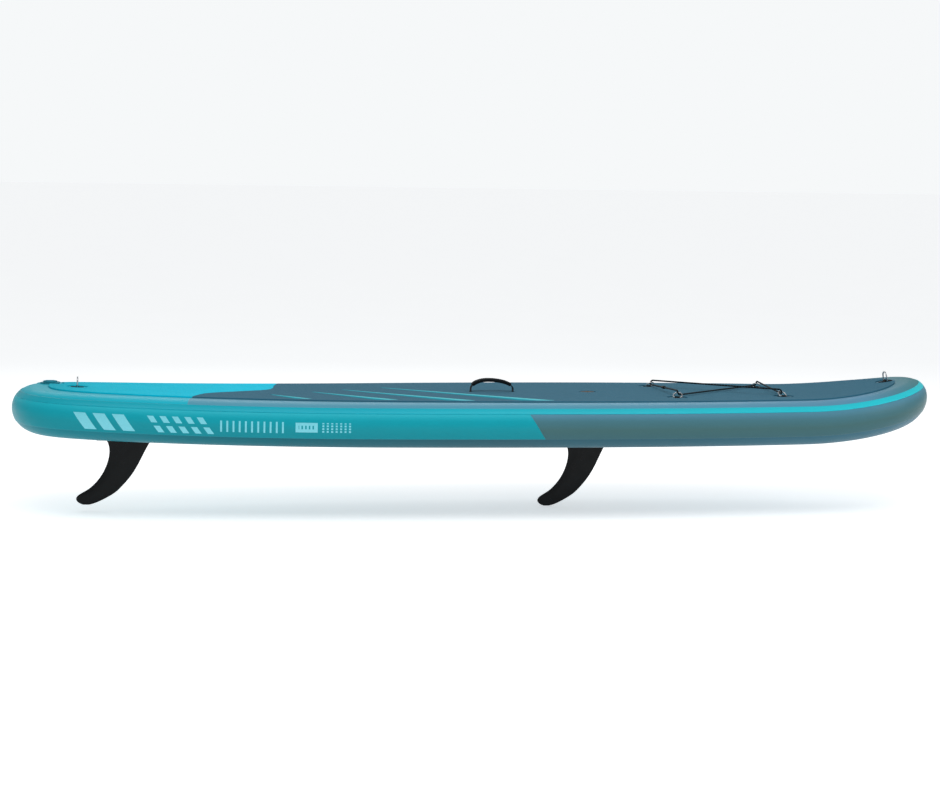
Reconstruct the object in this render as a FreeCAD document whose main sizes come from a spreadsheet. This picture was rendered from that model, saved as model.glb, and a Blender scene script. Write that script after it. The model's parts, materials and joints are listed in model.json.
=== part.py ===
import FreeCAD, Part
# Inflatable windsurf board: drop-stitch hull, rail bands, deck pad, mast foot, two fins,
# carry handle, bungee, tow rings and inflation valve.
#
# Frame, in millimetres: +X runs to the nose, +Z up.  The origin is the middle of the mast foot's
# threaded hole where it meets the deck skin.  A "station" is a distance forward of the tail tip.
import math
import os
import re

import Sketcher
from FreeCAD import Placement, Rotation, Vector

DOC = FreeCAD.newDocument("windsurf_board")
SHEET = DOC.addObject("Spreadsheet::Sheet", "dimensions")
UP = Vector(0, 0, 1)
ALONG = Vector(1, 0, 0)
ACROSS = Vector(0, 1, 0)
OUTPUT = []

DIMENSIONS = {
    # hull outline and rocker
    "board_length": 3200,
    "board_width": 810,
    "board_thickness": 150,
    "widest_station": 1900,
    "nose_taper": 0.38,
    "nose_roundness": 9.4,
    "tail_taper": 0.40,
    "tail_roundness": 25,
    "nose_lift": 70,
    "nose_lift_start": 2680,
    "nose_lift_power": 1.95,
    "tail_lift": 28,
    "tail_lift_start": 1250,
    "tail_lift_power": 2.2,
    "mast_station": 1975,
    "colour_break_top_station": 1690,
    "colour_break_bottom_station": 1745,
    # layers
    "skin_thickness": 1.3,
    "band_thickness": 1.2,
    "layer_gap": 0.15,
    "patch_thickness": 1.0,
    "pad_thickness": 5,
    "pad_gap": 0.4,
    "pad_start_station": 60,
    "pad_end_station": 3160,
    "patch_clearance": 2.5,
    "flange_clearance": 3,
    "yarn_radius": 2,
    "yarn_spacing": 110,
    # mast foot
    "mast_patch_radius": 60,
    "mast_flange_radius": 26,
    "mast_body_radius": 18,
    "mast_body_depth": 20,
    "mast_top": 4.3,
    "thread_radius": 4,
    "thread_sleeve_radius": 7,
    "thread_top": 4,
    "thread_bottom": -16,
    # carry handle
    "handle_rear_station": 1561,
    "handle_front_station": 1709,
    "handle_apex_station": 1620,
    "handle_pivot_height": 15,
    "handle_rise": 30,
    "webbing_width": 25,
    "webbing_thickness": 2.2,
    "foot_thickness": 1.5,
    "foot_length": 48,
    "grip_width": 32,
    "grip_thickness": 13,
    "grip_end_angle": 27,
    # rings
    "ring_patch_radius": 34,
    "bungee_wire_radius": 2,
    "bungee_ring_half_width": 14.5,
    "bungee_ring_side": 5,
    "tow_wire_radius": 2.5,
    "tow_ring_half_width": 18,
    "tow_ring_side": 10,
    "ring_corner_radius": 4,
    "ring_clearance": 0.15,
    "loop_layer": 1.2,
    "loop_length": 44,
    "nose_ring_station": 3062,
    "tail_ring_station": 216,
    # bungee
    "bungee_rear_station": 2245,
    "bungee_front_station": 2634,
    "bungee_rear_half": 195,
    "bungee_front_half": 158,
    "bungee_cord_radius": 3,
    "bungee_wrap_radius": 7.2,
    "bungee_ring_tilt": 38,
    "joiner_length": 24,
    "joiner_radius": 5.5,
    # inflation valve
    "valve_station": 126,
    "valve_side": 100,
    "valve_flange_radius": 31,
    "valve_flange_top": 6,
    "valve_cap_radius": 24,
    "valve_cap_top": 11,
    "valve_opening_radius": 48,
    "valve_barrel_radius": 23.5,
    "valve_bore_radius": 19,
    "valve_seat_radius": 12,
    "valve_depth": 26,
    "stem_radius": 2.5,
    "spring_radius": 4.4,
    "spring_wire_radius": 0.5,
    # fins, measured down from the hull's bottom
    "fin_base_depth": 25,
    "fin_tip_depth": 246,
    "fin_chord": 147,
    "fin_thickness": 9,
    "fin_tab_length": 170,
    "fin_tab_thickness": 9.3,
    "fin_box_length": 230,
    "fin_box_width": 28,
    "fin_flange_length": 12,
    "fin_flange_width": 11,
    "fin_patch_margin_length": 28,
    "fin_patch_margin_width": 24,
    "fin_tab_notch": 24,
    "fin_fixing_inset": 9,
    "fin_slot_length": 203,
    "fin_slot_width": 9.8,
    "fin_channel_width": 17,
    "fin_pin_radius": 1.98,
    "fin_screw_radius": 1.95,
    "tail_fin_station": 331,
    "centre_fin_station": 1916,
}


def fill_sheet():
    """Puts each driving dimension in the sheet, with its name beside it as the alias."""
    for row, (name, value) in enumerate(DIMENSIONS.items(), start=1):
        SHEET.set("A%d" % row, name)
        SHEET.set("B%d" % row, str(value))
        SHEET.setAlias("B%d" % row, name)
    DOC.recompute()


def size(name):
    return float(SHEET.get(name))


def linked(expression):
    """Turns sheet names in an expression into references another object can follow."""
    def reference(match):
        word = match.group(0)
        return "dimensions." + word if word in DIMENSIONS else word
    return re.sub(r"[A-Za-z_]+", reference, str(expression))


def value(expression):
    return float(SHEET.evalExpression(str(expression)))


def publish(thing, label, place=None):
    """Names a finished sub-part and puts it in its place."""
    thing.Label = label
    if place is not None:
        thing.Placement = place
    OUTPUT.append(thing)
    return thing


def feature(label, shape, place=None):
    """A sub-part whose shape comes from curves and surfaces made here."""
    thing = DOC.addObject("Part::Feature", label)
    thing.Shape = shape
    return publish(thing, label, place)


# ---------------------------------------------------------------- sketch helpers

def origin_plane(body, role):
    return next(item for item in body.Origin.OriginFeatures if item.Role == role)


def new_sketch(body, name, role, offset=0):
    """A sketch on one of the body's own planes, moved out along the plane's normal."""
    sketch = body.newObject("Sketcher::SketchObject", name)
    sketch.AttachmentSupport = [(origin_plane(body, role), "")]
    sketch.MapMode = "FlatFace"
    sketch.AttachmentOffset = Placement(Vector(0, 0, value(offset)), Rotation())
    if offset:
        sketch.setExpression("AttachmentOffset.Base.z", linked(offset))
    return sketch


def bind(sketch, number, expression):
    sketch.setExpression("Constraints[%d]" % number, linked(expression))


def pin_point(sketch, item, point, across, along):
    """Fixes a point's two coordinates to expressions."""
    for kind, expression in (("DistanceX", across), ("DistanceY", along)):
        number = sketch.addConstraint(Sketcher.Constraint(kind, item, point, value(expression)))
        bind(sketch, number, expression)


def add_outline(sketch, corners):
    """Straight-sided closed outline; every corner is a pair of expressions."""
    first = sketch.GeometryCount
    spots = [Vector(value(across), value(along), 0) for across, along in corners]
    count = len(spots)
    for index in range(count):
        line = Part.LineSegment(spots[index], spots[(index + 1) % count])
        sketch.addGeometry(line, False)
    for index in range(count):
        after = first + (index + 1) % count
        sketch.addConstraint(Sketcher.Constraint("Coincident", first + index, 2, after, 1))
    for index, (across, along) in enumerate(corners):
        pin_point(sketch, first + index, 1, across, along)


def add_rectangle(sketch, low, high):
    add_outline(sketch, [low, (high[0], low[1]), high, (low[0], high[1])])


def add_circle(sketch, across, along, radius):
    centre = Vector(value(across), value(along), 0)
    item = sketch.addGeometry(Part.Circle(centre, UP, value(radius)), False)
    pin_point(sketch, item, 3, across, along)
    number = sketch.addConstraint(Sketcher.Constraint("Radius", item, value(radius)))
    bind(sketch, number, radius)


def grow(body, kind, sketch, length, both=False, back=False):
    """A Pad or Pocket of the sketch, by an expression's length."""
    tool = body.newObject("PartDesign::" + kind, kind)
    tool.Profile = sketch
    tool.Length = value(length)
    tool.setExpression("Length", linked(length))
    tool.Midplane = both
    tool.Reversed = back
    sketch.Visibility = False
    return tool


def new_body(label):
    return DOC.addObject("PartDesign::Body", label)


def turned(label, corners, place=None):
    """A body turned about its own Z axis from a half profile of (radius, height) corners."""
    body = new_body(label)
    sketch = new_sketch(body, label + "_profile", "XZ_Plane")
    add_outline(sketch, corners)
    turn = body.newObject("PartDesign::Revolution", label + "_turn")
    turn.Profile = sketch
    turn.ReferenceAxis = (sketch, ["V_Axis"])
    turn.Angle = 360
    return publish(body, label, place)


# ---------------------------------------------------------------- hull geometry

def half_width(station):
    widest = size("widest_station")
    half = size("board_width") / 2
    if station >= widest:
        reach = (station - widest) / (size("board_length") - widest)
        taper, power = size("nose_taper"), size("nose_roundness")
    else:
        reach = (widest - station) / widest
        taper, power = size("tail_taper"), size("tail_roundness")
    return half * (1 - taper * reach ** 2) * math.sqrt(max(0.0, 1 - reach ** power))


def lift(station):
    """Rocker: how far the hull rises above its flat middle."""
    length = size("board_length")
    nose_start, tail_start = size("nose_lift_start"), size("tail_lift_start")
    if station > nose_start:
        reach = (station - nose_start) / (length - nose_start)
        return size("nose_lift") * reach ** size("nose_lift_power")
    if station < tail_start:
        reach = (tail_start - station) / tail_start
        return size("tail_lift") * reach ** size("tail_lift_power")
    return 0.0


def lift_slope(station):
    step = 0.5
    return (lift(station + step) - lift(station - step)) / (2 * step)


def station_at(sweep):
    """Station for a sweep angle, 0 at the tail tip and pi at the nose tip."""
    return size("board_length") / 2 * (1 - math.cos(sweep))


def is_tip(sweep):
    return sweep < 1e-9 or sweep > math.pi - 1e-9


def outline_point(sweep, inset=0.0):
    """A point on the outline, moved inwards along its normal; returns station, side, normal."""
    station = station_at(sweep)
    if is_tip(sweep):
        normal = (-1.0 if sweep < 1 else 1.0, 0.0)
    else:
        step = min(0.01, station * 0.01, (size("board_length") - station) * 0.01)
        slope = (half_width(station + step) - half_width(station - step)) / (2 * step)
        span = math.hypot(slope, 1)
        normal = (-slope / span, 1 / span)
    return station - inset * normal[0], half_width(station) - inset * normal[1], normal


def rail_point(side, radius, angle, sweep):
    """A point of the rail: angle is in degrees above level, sweep runs from tail to nose."""
    core = size("board_thickness") / 2
    station, across, normal = outline_point(sweep, core)
    out = radius * math.cos(math.radians(angle))
    station += out * normal[0]
    across = 0.0 if is_tip(sweep) else across + out * normal[1]
    height = radius * math.sin(math.radians(angle)) - core + lift(station)
    return Vector(station - size("mast_station"), side * across, height)


def smooth_row(points, shares, first_pull, last_pull):
    """A curve through points at fixed parameters, with its end directions given."""
    curve = Part.BSplineCurve()
    curve.interpolate(Points=points, Parameters=shares, InitialTangent=first_pull,
                      FinalTangent=last_pull, Scale=False)
    return curve


def rail_surface(side, radius, top, bottom, start, finish, columns=97):
    """Curved rail surface between two angles (degrees above level) on one side of the hull.

    start and finish give the sweep at an angle, so the ends may be slanted.  Rows of curves
    run from tail to nose, and a second set of curves through their poles joins the rows.
    """
    row_step = 7
    rows = max(4, int(abs(top - bottom) / row_step) + 2)
    shares = [column / (columns - 1) for column in range(columns)]
    levels = [row / (rows - 1) for row in range(rows)]
    small = 1e-4

    def spot(share, angle):
        return rail_point(side, radius, angle, start(angle) + (finish(angle) - start(angle)) * share)

    curves = []
    for level in levels:
        angle = top + (bottom - top) * level
        points = [spot(share, angle) for share in shares]
        first_pull = (spot(small, angle) - points[0]) / small
        last_pull = (points[-1] - spot(1 - small, angle)) / small
        curves.append(smooth_row(points, shares, first_pull, last_pull))
    poles = []
    for column_poles in zip(*(curve.getPoles() for curve in curves)):
        joining = Part.BSplineCurve()
        joining.interpolate(Points=list(column_poles), Parameters=levels)
        poles.append(joining.getPoles())
    surface = Part.BSplineSurface()
    surface.buildFromPolesMultsKnots(
        poles, curves[0].getMultiplicities(), joining.getMultiplicities(),
        curves[0].getKnots(), joining.getKnots(), False, False, curves[0].Degree, joining.Degree)
    return surface


def borders(surface):
    """The surface's four border curves: tail end, nose end, top and bottom."""
    first_u, last_u, first_v, last_v = surface.bounds()
    curves = (surface.uIso(first_u), surface.uIso(last_u), surface.vIso(first_v), surface.vIso(last_v))
    return [curve.toShape() for curve in curves]


def closed_solid(faces):
    shell = Part.makeShell(faces)
    shell.sewShape()
    solid = Part.makeSolid(shell)
    if solid.Volume < 0:
        solid.reverse()
    return solid


def at_tail(angle):
    return 0.0


def at_nose(angle):
    return math.pi


def past_tail(angle):
    """Left and right bands stop just short of each other on the centre line."""
    return TIP_SWEEP


def short_of_nose(angle):
    return math.pi - TIP_SWEEP


def rail_strip(side, inner, outer, top, bottom, start, finish):
    """A closed strip of rail material with its own ends."""
    skins = [rail_surface(side, radius, top, bottom, start, finish) for radius in (outer, inner)]
    faces = [skin.toShape() for skin in skins]
    faces += [Part.makeRuledSurface(a, b) for a, b in zip(borders(skins[0]), borders(skins[1]))]
    return closed_solid(faces)


def sheet_with_rails(inner, outer, flat, lip):
    """Deck or bottom skin: a flat panel with both rails turned down to the lip angle."""
    faces = []
    lips = {}
    flats = {}
    for radius in (outer, inner):
        for side in (-1, 1):
            skin = rail_surface(side, radius, flat, lip, at_tail, at_nose)
            faces.append(skin.toShape())
            flats[radius, side], lips[radius, side] = borders(skin)[2:]
        faces.append(Part.makeRuledSurface(flats[radius, -1], flats[radius, 1]))
    for side in (-1, 1):
        faces.append(Part.makeRuledSurface(lips[outer, side], lips[inner, side]))
    return closed_solid(faces)


def ring_wall(inner, outer, top, bottom):
    """The side wall, one closed ring round the whole board."""
    faces = []
    for side in (-1, 1):
        skins = []
        for radius in (outer, inner):
            skins.append(rail_surface(side, radius, top, bottom, at_tail, at_nose))
        faces += [skin.toShape() for skin in skins]
        outer_edges, inner_edges = borders(skins[0]), borders(skins[1])
        faces += [Part.makeRuledSurface(outer_edges[k], inner_edges[k]) for k in (2, 3)]
    return closed_solid(faces)


def layer_sheet(low, high, first, last, base=0.0):
    """A sheet that follows the rocker, between two heights above the base, over a station range."""
    steps = 60
    stations = [first + (last - first) * index / steps for index in range(steps + 1)]
    reach = size("board_width")
    edges = []
    for height in (low, high):
        curve = Part.BSplineCurve()
        points = [Vector(s - size("mast_station"), -reach, lift(s) + base + height) for s in stations]
        curve.interpolate(points)
        edges.append(curve.toShape())
    ends = [
        Part.makeLine(edges[0].Vertexes[0].Point, edges[1].Vertexes[0].Point),
        Part.makeLine(edges[0].Vertexes[-1].Point, edges[1].Vertexes[-1].Point),
    ]
    wire = Part.Wire(Part.__sortEdges__([edges[0], ends[1], edges[1], ends[0]]))
    return Part.Face(wire).extrude(Vector(0, 2 * reach, 0))


def tall(face):
    """Turns a plan outline into a column that passes right through the board."""
    reach = 500
    face = face.copy()
    face.translate(Vector(0, 0, -reach))
    return face.extrude(Vector(0, 0, 2 * reach))


def plan_curve(points):
    curve = Part.BSplineCurve()
    curve.interpolate([Vector(station - size("mast_station"), across, 0) for station, across in points])
    return curve.toShape()


def plan_polygon(points):
    spots = [Vector(station - size("mast_station"), across, 0) for station, across in points]
    return Part.makePolygon(spots + spots[:1])


def column(station, across, radius):
    centre = Vector(station - size("mast_station"), across, 0)
    return tall(Part.Face(Part.Wire(Part.makeCircle(radius, centre))))


def cut_all(shape, tools):
    return shape.cut(Part.makeCompound(tools)) if tools else shape


# ---------------------------------------------------------------- hull

# seams of the rail, in degrees above level as seen from the rail's own centre line
TOP_SEAM = 53
STRIPE_EDGE = 34.5
BOTTOM_SEAM = -32
WALL_ANGLE = 30
ANGLE_GAP = 0.3
# thin gaps between neighbouring bands, as sweep angles in radians
TIP_SWEEP = 0.0006
BREAK_SWEEP = 0.0002


def build_skins():
    core = size("board_thickness") / 2
    inner = core - size("skin_thickness")
    deck = sheet_with_rails(inner, core, 90, WALL_ANGLE)
    mast_hole = column(size("mast_station"), 0, size("mast_body_radius") + 0.3)
    valve_hole = column(size("valve_station"), size("valve_side"), size("valve_barrel_radius") + 1)
    above = Part.makeBox(8000, 2000, 1000, Vector(-4000, -1000, -core))
    deck = deck.cut(mast_hole.common(above)).cut(valve_hole.common(above))
    feature("deck_skin", deck)
    feature("bottom_skin", sheet_with_rails(inner, core, -90, -WALL_ANGLE))
    edge = WALL_ANGLE - ANGLE_GAP
    feature("inner_rail_wall", ring_wall(inner, core, edge, -edge))


def build_rail_bands():
    """Outer rail layer: a bright top stripe, and below it a rear and a front band per side."""
    inner = size("board_thickness") / 2 + size("layer_gap")
    outer = inner + size("band_thickness")
    break_top, break_bottom = size("colour_break_top_station"), size("colour_break_bottom_station")

    def break_sweep(angle):
        share = (STRIPE_EDGE - angle) / (STRIPE_EDGE - BOTTOM_SEAM)
        station = break_top + (break_bottom - break_top) * share
        return math.acos(1 - 2 * station / size("board_length"))

    def after_break(angle):
        return break_sweep(angle) + BREAK_SWEEP

    for side, name in ((-1, "right"), (1, "left")):
        stripe = rail_strip(side, inner, outer, TOP_SEAM, STRIPE_EDGE + ANGLE_GAP, past_tail, short_of_nose)
        feature("rail_stripe_" + name, stripe)
        rear = rail_strip(side, inner, outer, STRIPE_EDGE, BOTTOM_SEAM, past_tail, break_sweep)
        feature("rear_rail_band_" + name, rear)
        front = rail_strip(side, inner, outer, STRIPE_EDGE, BOTTOM_SEAM, after_break, short_of_nose)
        feature("front_rail_band_" + name, front)


def build_yarns():
    """Bundles of drop-stitch yarn that hold the deck and bottom the same distance apart."""
    stitch_gap = 1.2
    margin = stitch_gap + size("skin_thickness")
    height = size("board_thickness") - 2 * margin
    spacing = size("yarn_spacing")
    keep_clear = 110
    fittings = [(size("mast_station"), 0, 40), (size("valve_station"), size("valve_side"), 50)]
    yarns = []
    for row in range(1, int(size("board_length") / spacing)):
        station = row * spacing
        reach = int((half_width(station) - keep_clear) / spacing)
        for place in range(-reach, reach + 1):
            across = place * spacing
            if any(math.hypot(station - s, across - y) < clear for s, y, clear in fittings):
                continue
            foot = Vector(station - size("mast_station"), across,
                          lift(station) - size("board_thickness") + margin)
            yarns.append(Part.makeCylinder(size("yarn_radius"), height, foot))
    feature("drop_stitch_yarns", Part.makeCompound(yarns))


# ---------------------------------------------------------------- deck pad

def pad_inset(station):
    """The pad's distance in from the outline grows towards both ends."""
    middle, tail_growth, nose_growth = 80, 40, 35
    tail_run, nose_start = 1700, 2700
    tail = max(0.0, (tail_run - station) / tail_run) ** 1.5
    nose = max(0.0, (station - nose_start) / (size("board_length") - nose_start)) ** 2
    return middle + tail_growth * tail + nose_growth * nose


def pad_column():
    count = 60
    sides = []
    for side in (-1, 1):
        points = []
        for index in range(count + 1):
            sweep = math.pi * index / count
            station, across, normal = outline_point(sweep, pad_inset(station_at(sweep)))
            end = index in (0, count)
            points.append((station, 0.0 if end else side * across))
        sides.append(plan_curve(points))
    return tall(Part.Face(Part.Wire(Part.__sortEdges__(sides))))


def tail_region(shift):
    """Everything behind the curved colour break of the pad."""
    wave = [(555, -420), (572, -280), (640, -110), (760, -22), (868, 60), (905, 230), (960, 420)]
    curve = plan_curve([(station + shift, across) for station, across in wave])
    corners = plan_polygon([(-200, 420), (-200, -420), (wave[0][0] + shift, -420)]).Edges[:2]
    top = Part.makeLine(curve.Vertexes[-1].Point, Vector(-200 - size("mast_station"), 420, 0))
    return tall(Part.Face(Part.Wire(Part.__sortEdges__([curve, top] + corners))))


# slashes across the pad: tip station and side, end station and side, width at the end
PAD_SLASHES = {
    "pad_slash_1": (860, -118, 955, -245, 60),
    "pad_slash_2": (1010, -18, 1232, -272, 82),
    "pad_slash_3": (1122, 62, 1478, -298, 100),
    "pad_slash_4": (1268, 135, 1738, -300, 118),
}
SLASH_TIP_WIDTH = 14


def slash_outline(name):
    tip_station, tip_side, end_station, end_side, width = PAD_SLASHES[name]
    tip, end = SLASH_TIP_WIDTH / 2, width / 2
    return plan_polygon([
        (tip_station - tip, tip_side),
        (end_station - end, end_side),
        (end_station + end, end_side),
        (tip_station + tip, tip_side),
    ])


def pad_openings():
    """Cut-outs round every fitting that stands on the deck."""
    ring_opening = size("ring_patch_radius") + size("patch_clearance")
    mast_opening = size("mast_flange_radius") + size("flange_clearance")
    openings = [column(size("mast_station"), 0, mast_opening)]
    for station, half in (("bungee_rear_station", "bungee_rear_half"),
                          ("bungee_front_station", "bungee_front_half")):
        openings += [column(size(station), side * size(half), ring_opening) for side in (-1, 1)]
    for station in ("nose_ring_station", "tail_ring_station"):
        openings.append(column(size(station), 0, ring_opening))
    openings.append(column(size("valve_station"), size("valve_side"), size("valve_opening_radius")))
    slot_half = size("webbing_width") / 2 + 2
    for station, way in ((size("handle_rear_station"), -1), (size("handle_front_station"), 1)):
        near, far = station - way * 4, station + way * 5
        box = plan_polygon([(near, -slot_half), (far, -slot_half), (far, slot_half), (near, slot_half)])
        openings.append(tall(Part.Face(box)))
    return openings


def pad_recesses():
    """Shallow hollows in the pad's underside over the hidden patches and the handle's feet."""
    low = -1
    patch_top = size("layer_gap") * 2 + size("patch_thickness")
    foot_top = patch_top + size("layer_gap") + size("foot_thickness")
    recesses = [Part.makeCylinder(size("mast_patch_radius") + 1.5, patch_top - low, Vector(0, 0, low))]
    for station, way in ((size("handle_rear_station"), -1), (size("handle_front_station"), 1)):
        x_place = station - size("mast_station")
        patch_middle = x_place + way * HANDLE_PATCH_SHIFT
        recesses.append(Part.makeCylinder(HANDLE_PATCH_RADIUS + 1.5, patch_top - low,
                                          Vector(patch_middle, 0, low)))
        length = size("foot_length") + 6
        start = min(x_place, x_place + way * length)
        width = size("webbing_width") + 2
        recesses.append(Part.makeBox(length, width, foot_top - low, Vector(start, -width / 2, low)))
    return recesses


def build_pads():
    low = size("layer_gap")
    high = low + size("pad_thickness")
    sheet = layer_sheet(low, high, size("pad_start_station"), size("pad_end_station"))
    whole = cut_all(sheet.common(pad_column()), pad_openings())
    feature("tail_deck_pad", whole.common(tail_region(0)))
    main = cut_all(whole.cut(tail_region(size("pad_gap"))), pad_recesses())
    slash_columns = {name: tall(Part.Face(slash_outline(name))) for name in PAD_SLASHES}
    feature("main_deck_pad", cut_all(main, list(slash_columns.values())))
    for name in PAD_SLASHES:
        smaller = slash_outline(name).makeOffset2D(-size("pad_gap"))
        feature(name, main.common(tall(Part.Face(smaller))))


# ---------------------------------------------------------------- mast foot

def build_mast_foot():
    patch = new_body("mast_foot_patch")
    sketch = new_sketch(patch, "mast_patch_plan", "XY_Plane", "layer_gap")
    add_circle(sketch, 0, 0, "mast_patch_radius")
    add_circle(sketch, 0, 0, "mast_body_radius + 0.3")
    grow(patch, "Pad", sketch, "patch_thickness")
    publish(patch, "mast_foot_patch")
    flange_bottom = "2 * layer_gap + patch_thickness"
    turned("mast_foot_insert", [
        ("thread_sleeve_radius + 0.05", "mast_top"),
        ("mast_flange_radius - 2", "mast_top"),
        ("mast_flange_radius", "mast_top - 1.5"),
        ("mast_flange_radius", flange_bottom),
        ("mast_body_radius", flange_bottom),
        ("mast_body_radius", "-mast_body_depth"),
        ("0", "-mast_body_depth"),
        ("0", "thread_bottom - 0.05"),
        ("thread_sleeve_radius + 0.05", "thread_bottom - 0.05"),
    ])
    turned("mast_foot_thread", [
        ("thread_radius", "thread_top"),
        ("thread_sleeve_radius", "thread_top"),
        ("thread_sleeve_radius", "thread_bottom"),
        ("thread_radius", "thread_bottom"),
    ])


# ---------------------------------------------------------------- carry handle

HANDLE_PATCH_RADIUS = 40
HANDLE_PATCH_SHIFT = 22


def arch_outline(sketch, thickness, end_angle):
    """Closed band that follows the handle's arch: two quarter ellipses meeting at the apex."""
    rear = size("handle_apex_station") - size("handle_rear_station")
    front = size("handle_front_station") - size("handle_apex_station")
    centre = Vector(size("handle_apex_station") - size("mast_station"), size("handle_pivot_height"), 0)
    quarter = math.pi / 2
    corners = []
    for grown in (thickness / 2, -thickness / 2):
        rise = size("handle_rise") + grown
        front_arc = Part.ArcOfEllipse(Part.Ellipse(centre, front + grown, rise), end_angle, quarter)
        rear_ellipse = Part.Ellipse(centre, rear + grown, rise)
        rear_arc = Part.ArcOfEllipse(rear_ellipse, quarter, math.pi - end_angle)
        sketch.addGeometry([front_arc, rear_arc], False)
        corners.append((front_arc.StartPoint, rear_arc.EndPoint))
    for outer, inner in zip(corners[0], corners[1]):
        sketch.addGeometry(Part.LineSegment(outer, inner), False)


def build_handle():
    low = size("layer_gap")
    discs = []
    feet = []
    foot_low = 2 * low + size("patch_thickness")
    half = size("webbing_width") / 2
    inner_face = size("webbing_thickness") / 2 + 0.3
    thick = size("foot_thickness")
    for station, way in ((size("handle_rear_station"), -1), (size("handle_front_station"), 1)):
        x_place = station - size("mast_station")
        discs.append(Part.makeCylinder(HANDLE_PATCH_RADIUS, size("patch_thickness"),
                                       Vector(x_place + way * HANDLE_PATCH_SHIFT, 0, low)))
        near = x_place + way * inner_face
        far = x_place + way * size("foot_length")
        tab = Part.makeBox(abs(far - near), 2 * half, thick, Vector(min(near, far), -half, foot_low))
        wall_low = min(near, near + way * thick)
        wall = Part.makeBox(thick, 2 * half, size("handle_pivot_height") - foot_low,
                            Vector(wall_low, -half, foot_low))
        lap = Part.makeCylinder(half, thick, Vector(wall_low, 0, size("handle_pivot_height")), ALONG)
        feet.append(tab.fuse([wall, lap]).removeSplitter())
    feature("handle_patches", Part.makeCompound(discs))
    feature("handle_feet", Part.makeCompound(feet))

    strap = new_body("handle_webbing")
    sketch = new_sketch(strap, "strap_profile", "XZ_Plane")
    arch_outline(sketch, size("webbing_thickness"), 0)
    grow(strap, "Pad", sketch, "webbing_width", both=True)
    for end in ("rear", "front"):
        place = "handle_%s_station - mast_station" % end
        lap = new_sketch(strap, end + "_lap", "YZ_Plane", place)
        add_circle(lap, 0, "handle_pivot_height", "webbing_width / 2")
        grow(strap, "Pad", lap, "webbing_thickness", both=True)
    publish(strap, "handle_webbing")

    grip = new_body("handle_grip")
    end_angle = math.radians(size("grip_end_angle"))
    sleeve = new_sketch(grip, "grip_profile", "XZ_Plane")
    arch_outline(sleeve, size("grip_thickness"), end_angle)
    block = grow(grip, "Pad", sleeve, "grip_width", both=True)
    DOC.recompute()
    side = size("grip_width") / 2
    rims = [index for index, edge in enumerate(block.Shape.Edges, start=1)
            if abs(abs(edge.CenterOfMass.y) - side) < 0.2 and edge.Length > size("grip_thickness") + 1]
    fillet = grip.newObject("PartDesign::Fillet", "grip_rounding")
    fillet.Base = (block, ["Edge%d" % index for index in rims])
    fillet.Radius = size("grip_thickness") * 0.42
    passage = new_sketch(grip, "grip_passage", "XZ_Plane")
    arch_outline(passage, size("webbing_thickness") + 0.3, math.radians(15))
    grow(grip, "Pocket", passage, "webbing_width + 0.6", both=True)
    publish(grip, "handle_grip")


# ---------------------------------------------------------------- rings and their loops

def ring_body(label, wire, half, side, place):
    """A rounded D of round wire; its straight bar lies along Y at the local origin."""
    body = new_body(label)
    path = new_sketch(body, label + "_path", "YZ_Plane")
    corner = size("ring_corner_radius")
    reach, straight = size(half), size(side)
    right = math.pi / 2
    spots = [
        Vector(reach - corner, corner, 0),
        Vector(0, corner + straight, 0),
        Vector(corner - reach, corner, 0),
    ]
    path.addGeometry([
        Part.LineSegment(Vector(corner - reach, 0, 0), Vector(reach - corner, 0, 0)),
        Part.ArcOfCircle(Part.Circle(spots[0], UP, corner), -right, 0),
        Part.LineSegment(Vector(reach, corner, 0), Vector(reach, corner + straight, 0)),
        Part.ArcOfCircle(Part.Circle(spots[1], UP, reach), 0, math.pi),
        Part.LineSegment(Vector(-reach, corner + straight, 0), Vector(-reach, corner, 0)),
        Part.ArcOfCircle(Part.Circle(spots[2], UP, corner), math.pi, 3 * right),
    ], False)
    section = new_sketch(body, label + "_section", "XZ_Plane")
    add_circle(section, 0, 0, wire)
    pipe = body.newObject("PartDesign::AdditivePipe", label + "_wire")
    pipe.Profile = section
    pipe.Spine = (path, ["Edge%d" % index for index in range(1, 7)])
    return publish(body, label, place)


def loop_shape(wire, half):
    """Webbing folded round a ring's bar and stitched down on both sides, local X across the bar."""
    base = 2 * size("layer_gap") + size("patch_thickness")
    layer = size("loop_layer")
    hole = size(wire) + size("ring_clearance")
    axis = base + layer + hole
    width = 2 * (size(half) - size("ring_corner_radius")) - 2
    length = size("loop_length")
    tabs = Part.makeBox(length, width, 2 * layer, Vector(-length / 2, -width / 2, base))
    hump = Part.makeCylinder(hole + layer, width, Vector(0, -width / 2, axis), ACROSS)
    bore = Part.makeCylinder(hole, width, Vector(0, -width / 2, axis), ACROSS)
    return tabs.fuse(hump).cut(bore).removeSplitter()


def ring_axis_height(wire):
    return (2 * size("layer_gap") + size("patch_thickness") + size("loop_layer")
            + size(wire) + size("ring_clearance"))


def deck_place(station):
    """Placement on the middle of the deck skin, tilted with the rocker."""
    tilt = -math.degrees(math.atan(lift_slope(station)))
    return Placement(Vector(station - size("mast_station"), 0, lift(station)), Rotation(ACROSS, tilt))


def deck_patch(station, across, radius, hole=0.0):
    low = size("layer_gap")
    sheet = layer_sheet(low, low + size("patch_thickness"), station - radius - 20, station + radius + 20)
    disc = column(station, across, radius)
    if hole:
        disc = disc.cut(column(station, across, hole))
    return sheet.common(disc)


def build_tow_ring(name, station_name):
    station = size(station_name)
    place = deck_place(station)
    feature(name + "_patch", deck_patch(station, 0, size("ring_patch_radius")))
    feature(name + "_loop", loop_shape("tow_wire_radius", "tow_ring_half_width"), place)
    bar = Placement(Vector(0, 0, ring_axis_height("tow_wire_radius")), Rotation())
    ring_body(name + "_ring", "tow_wire_radius", "tow_ring_half_width", "tow_ring_side",
              place.multiply(bar))


# ---------------------------------------------------------------- bungee

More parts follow.
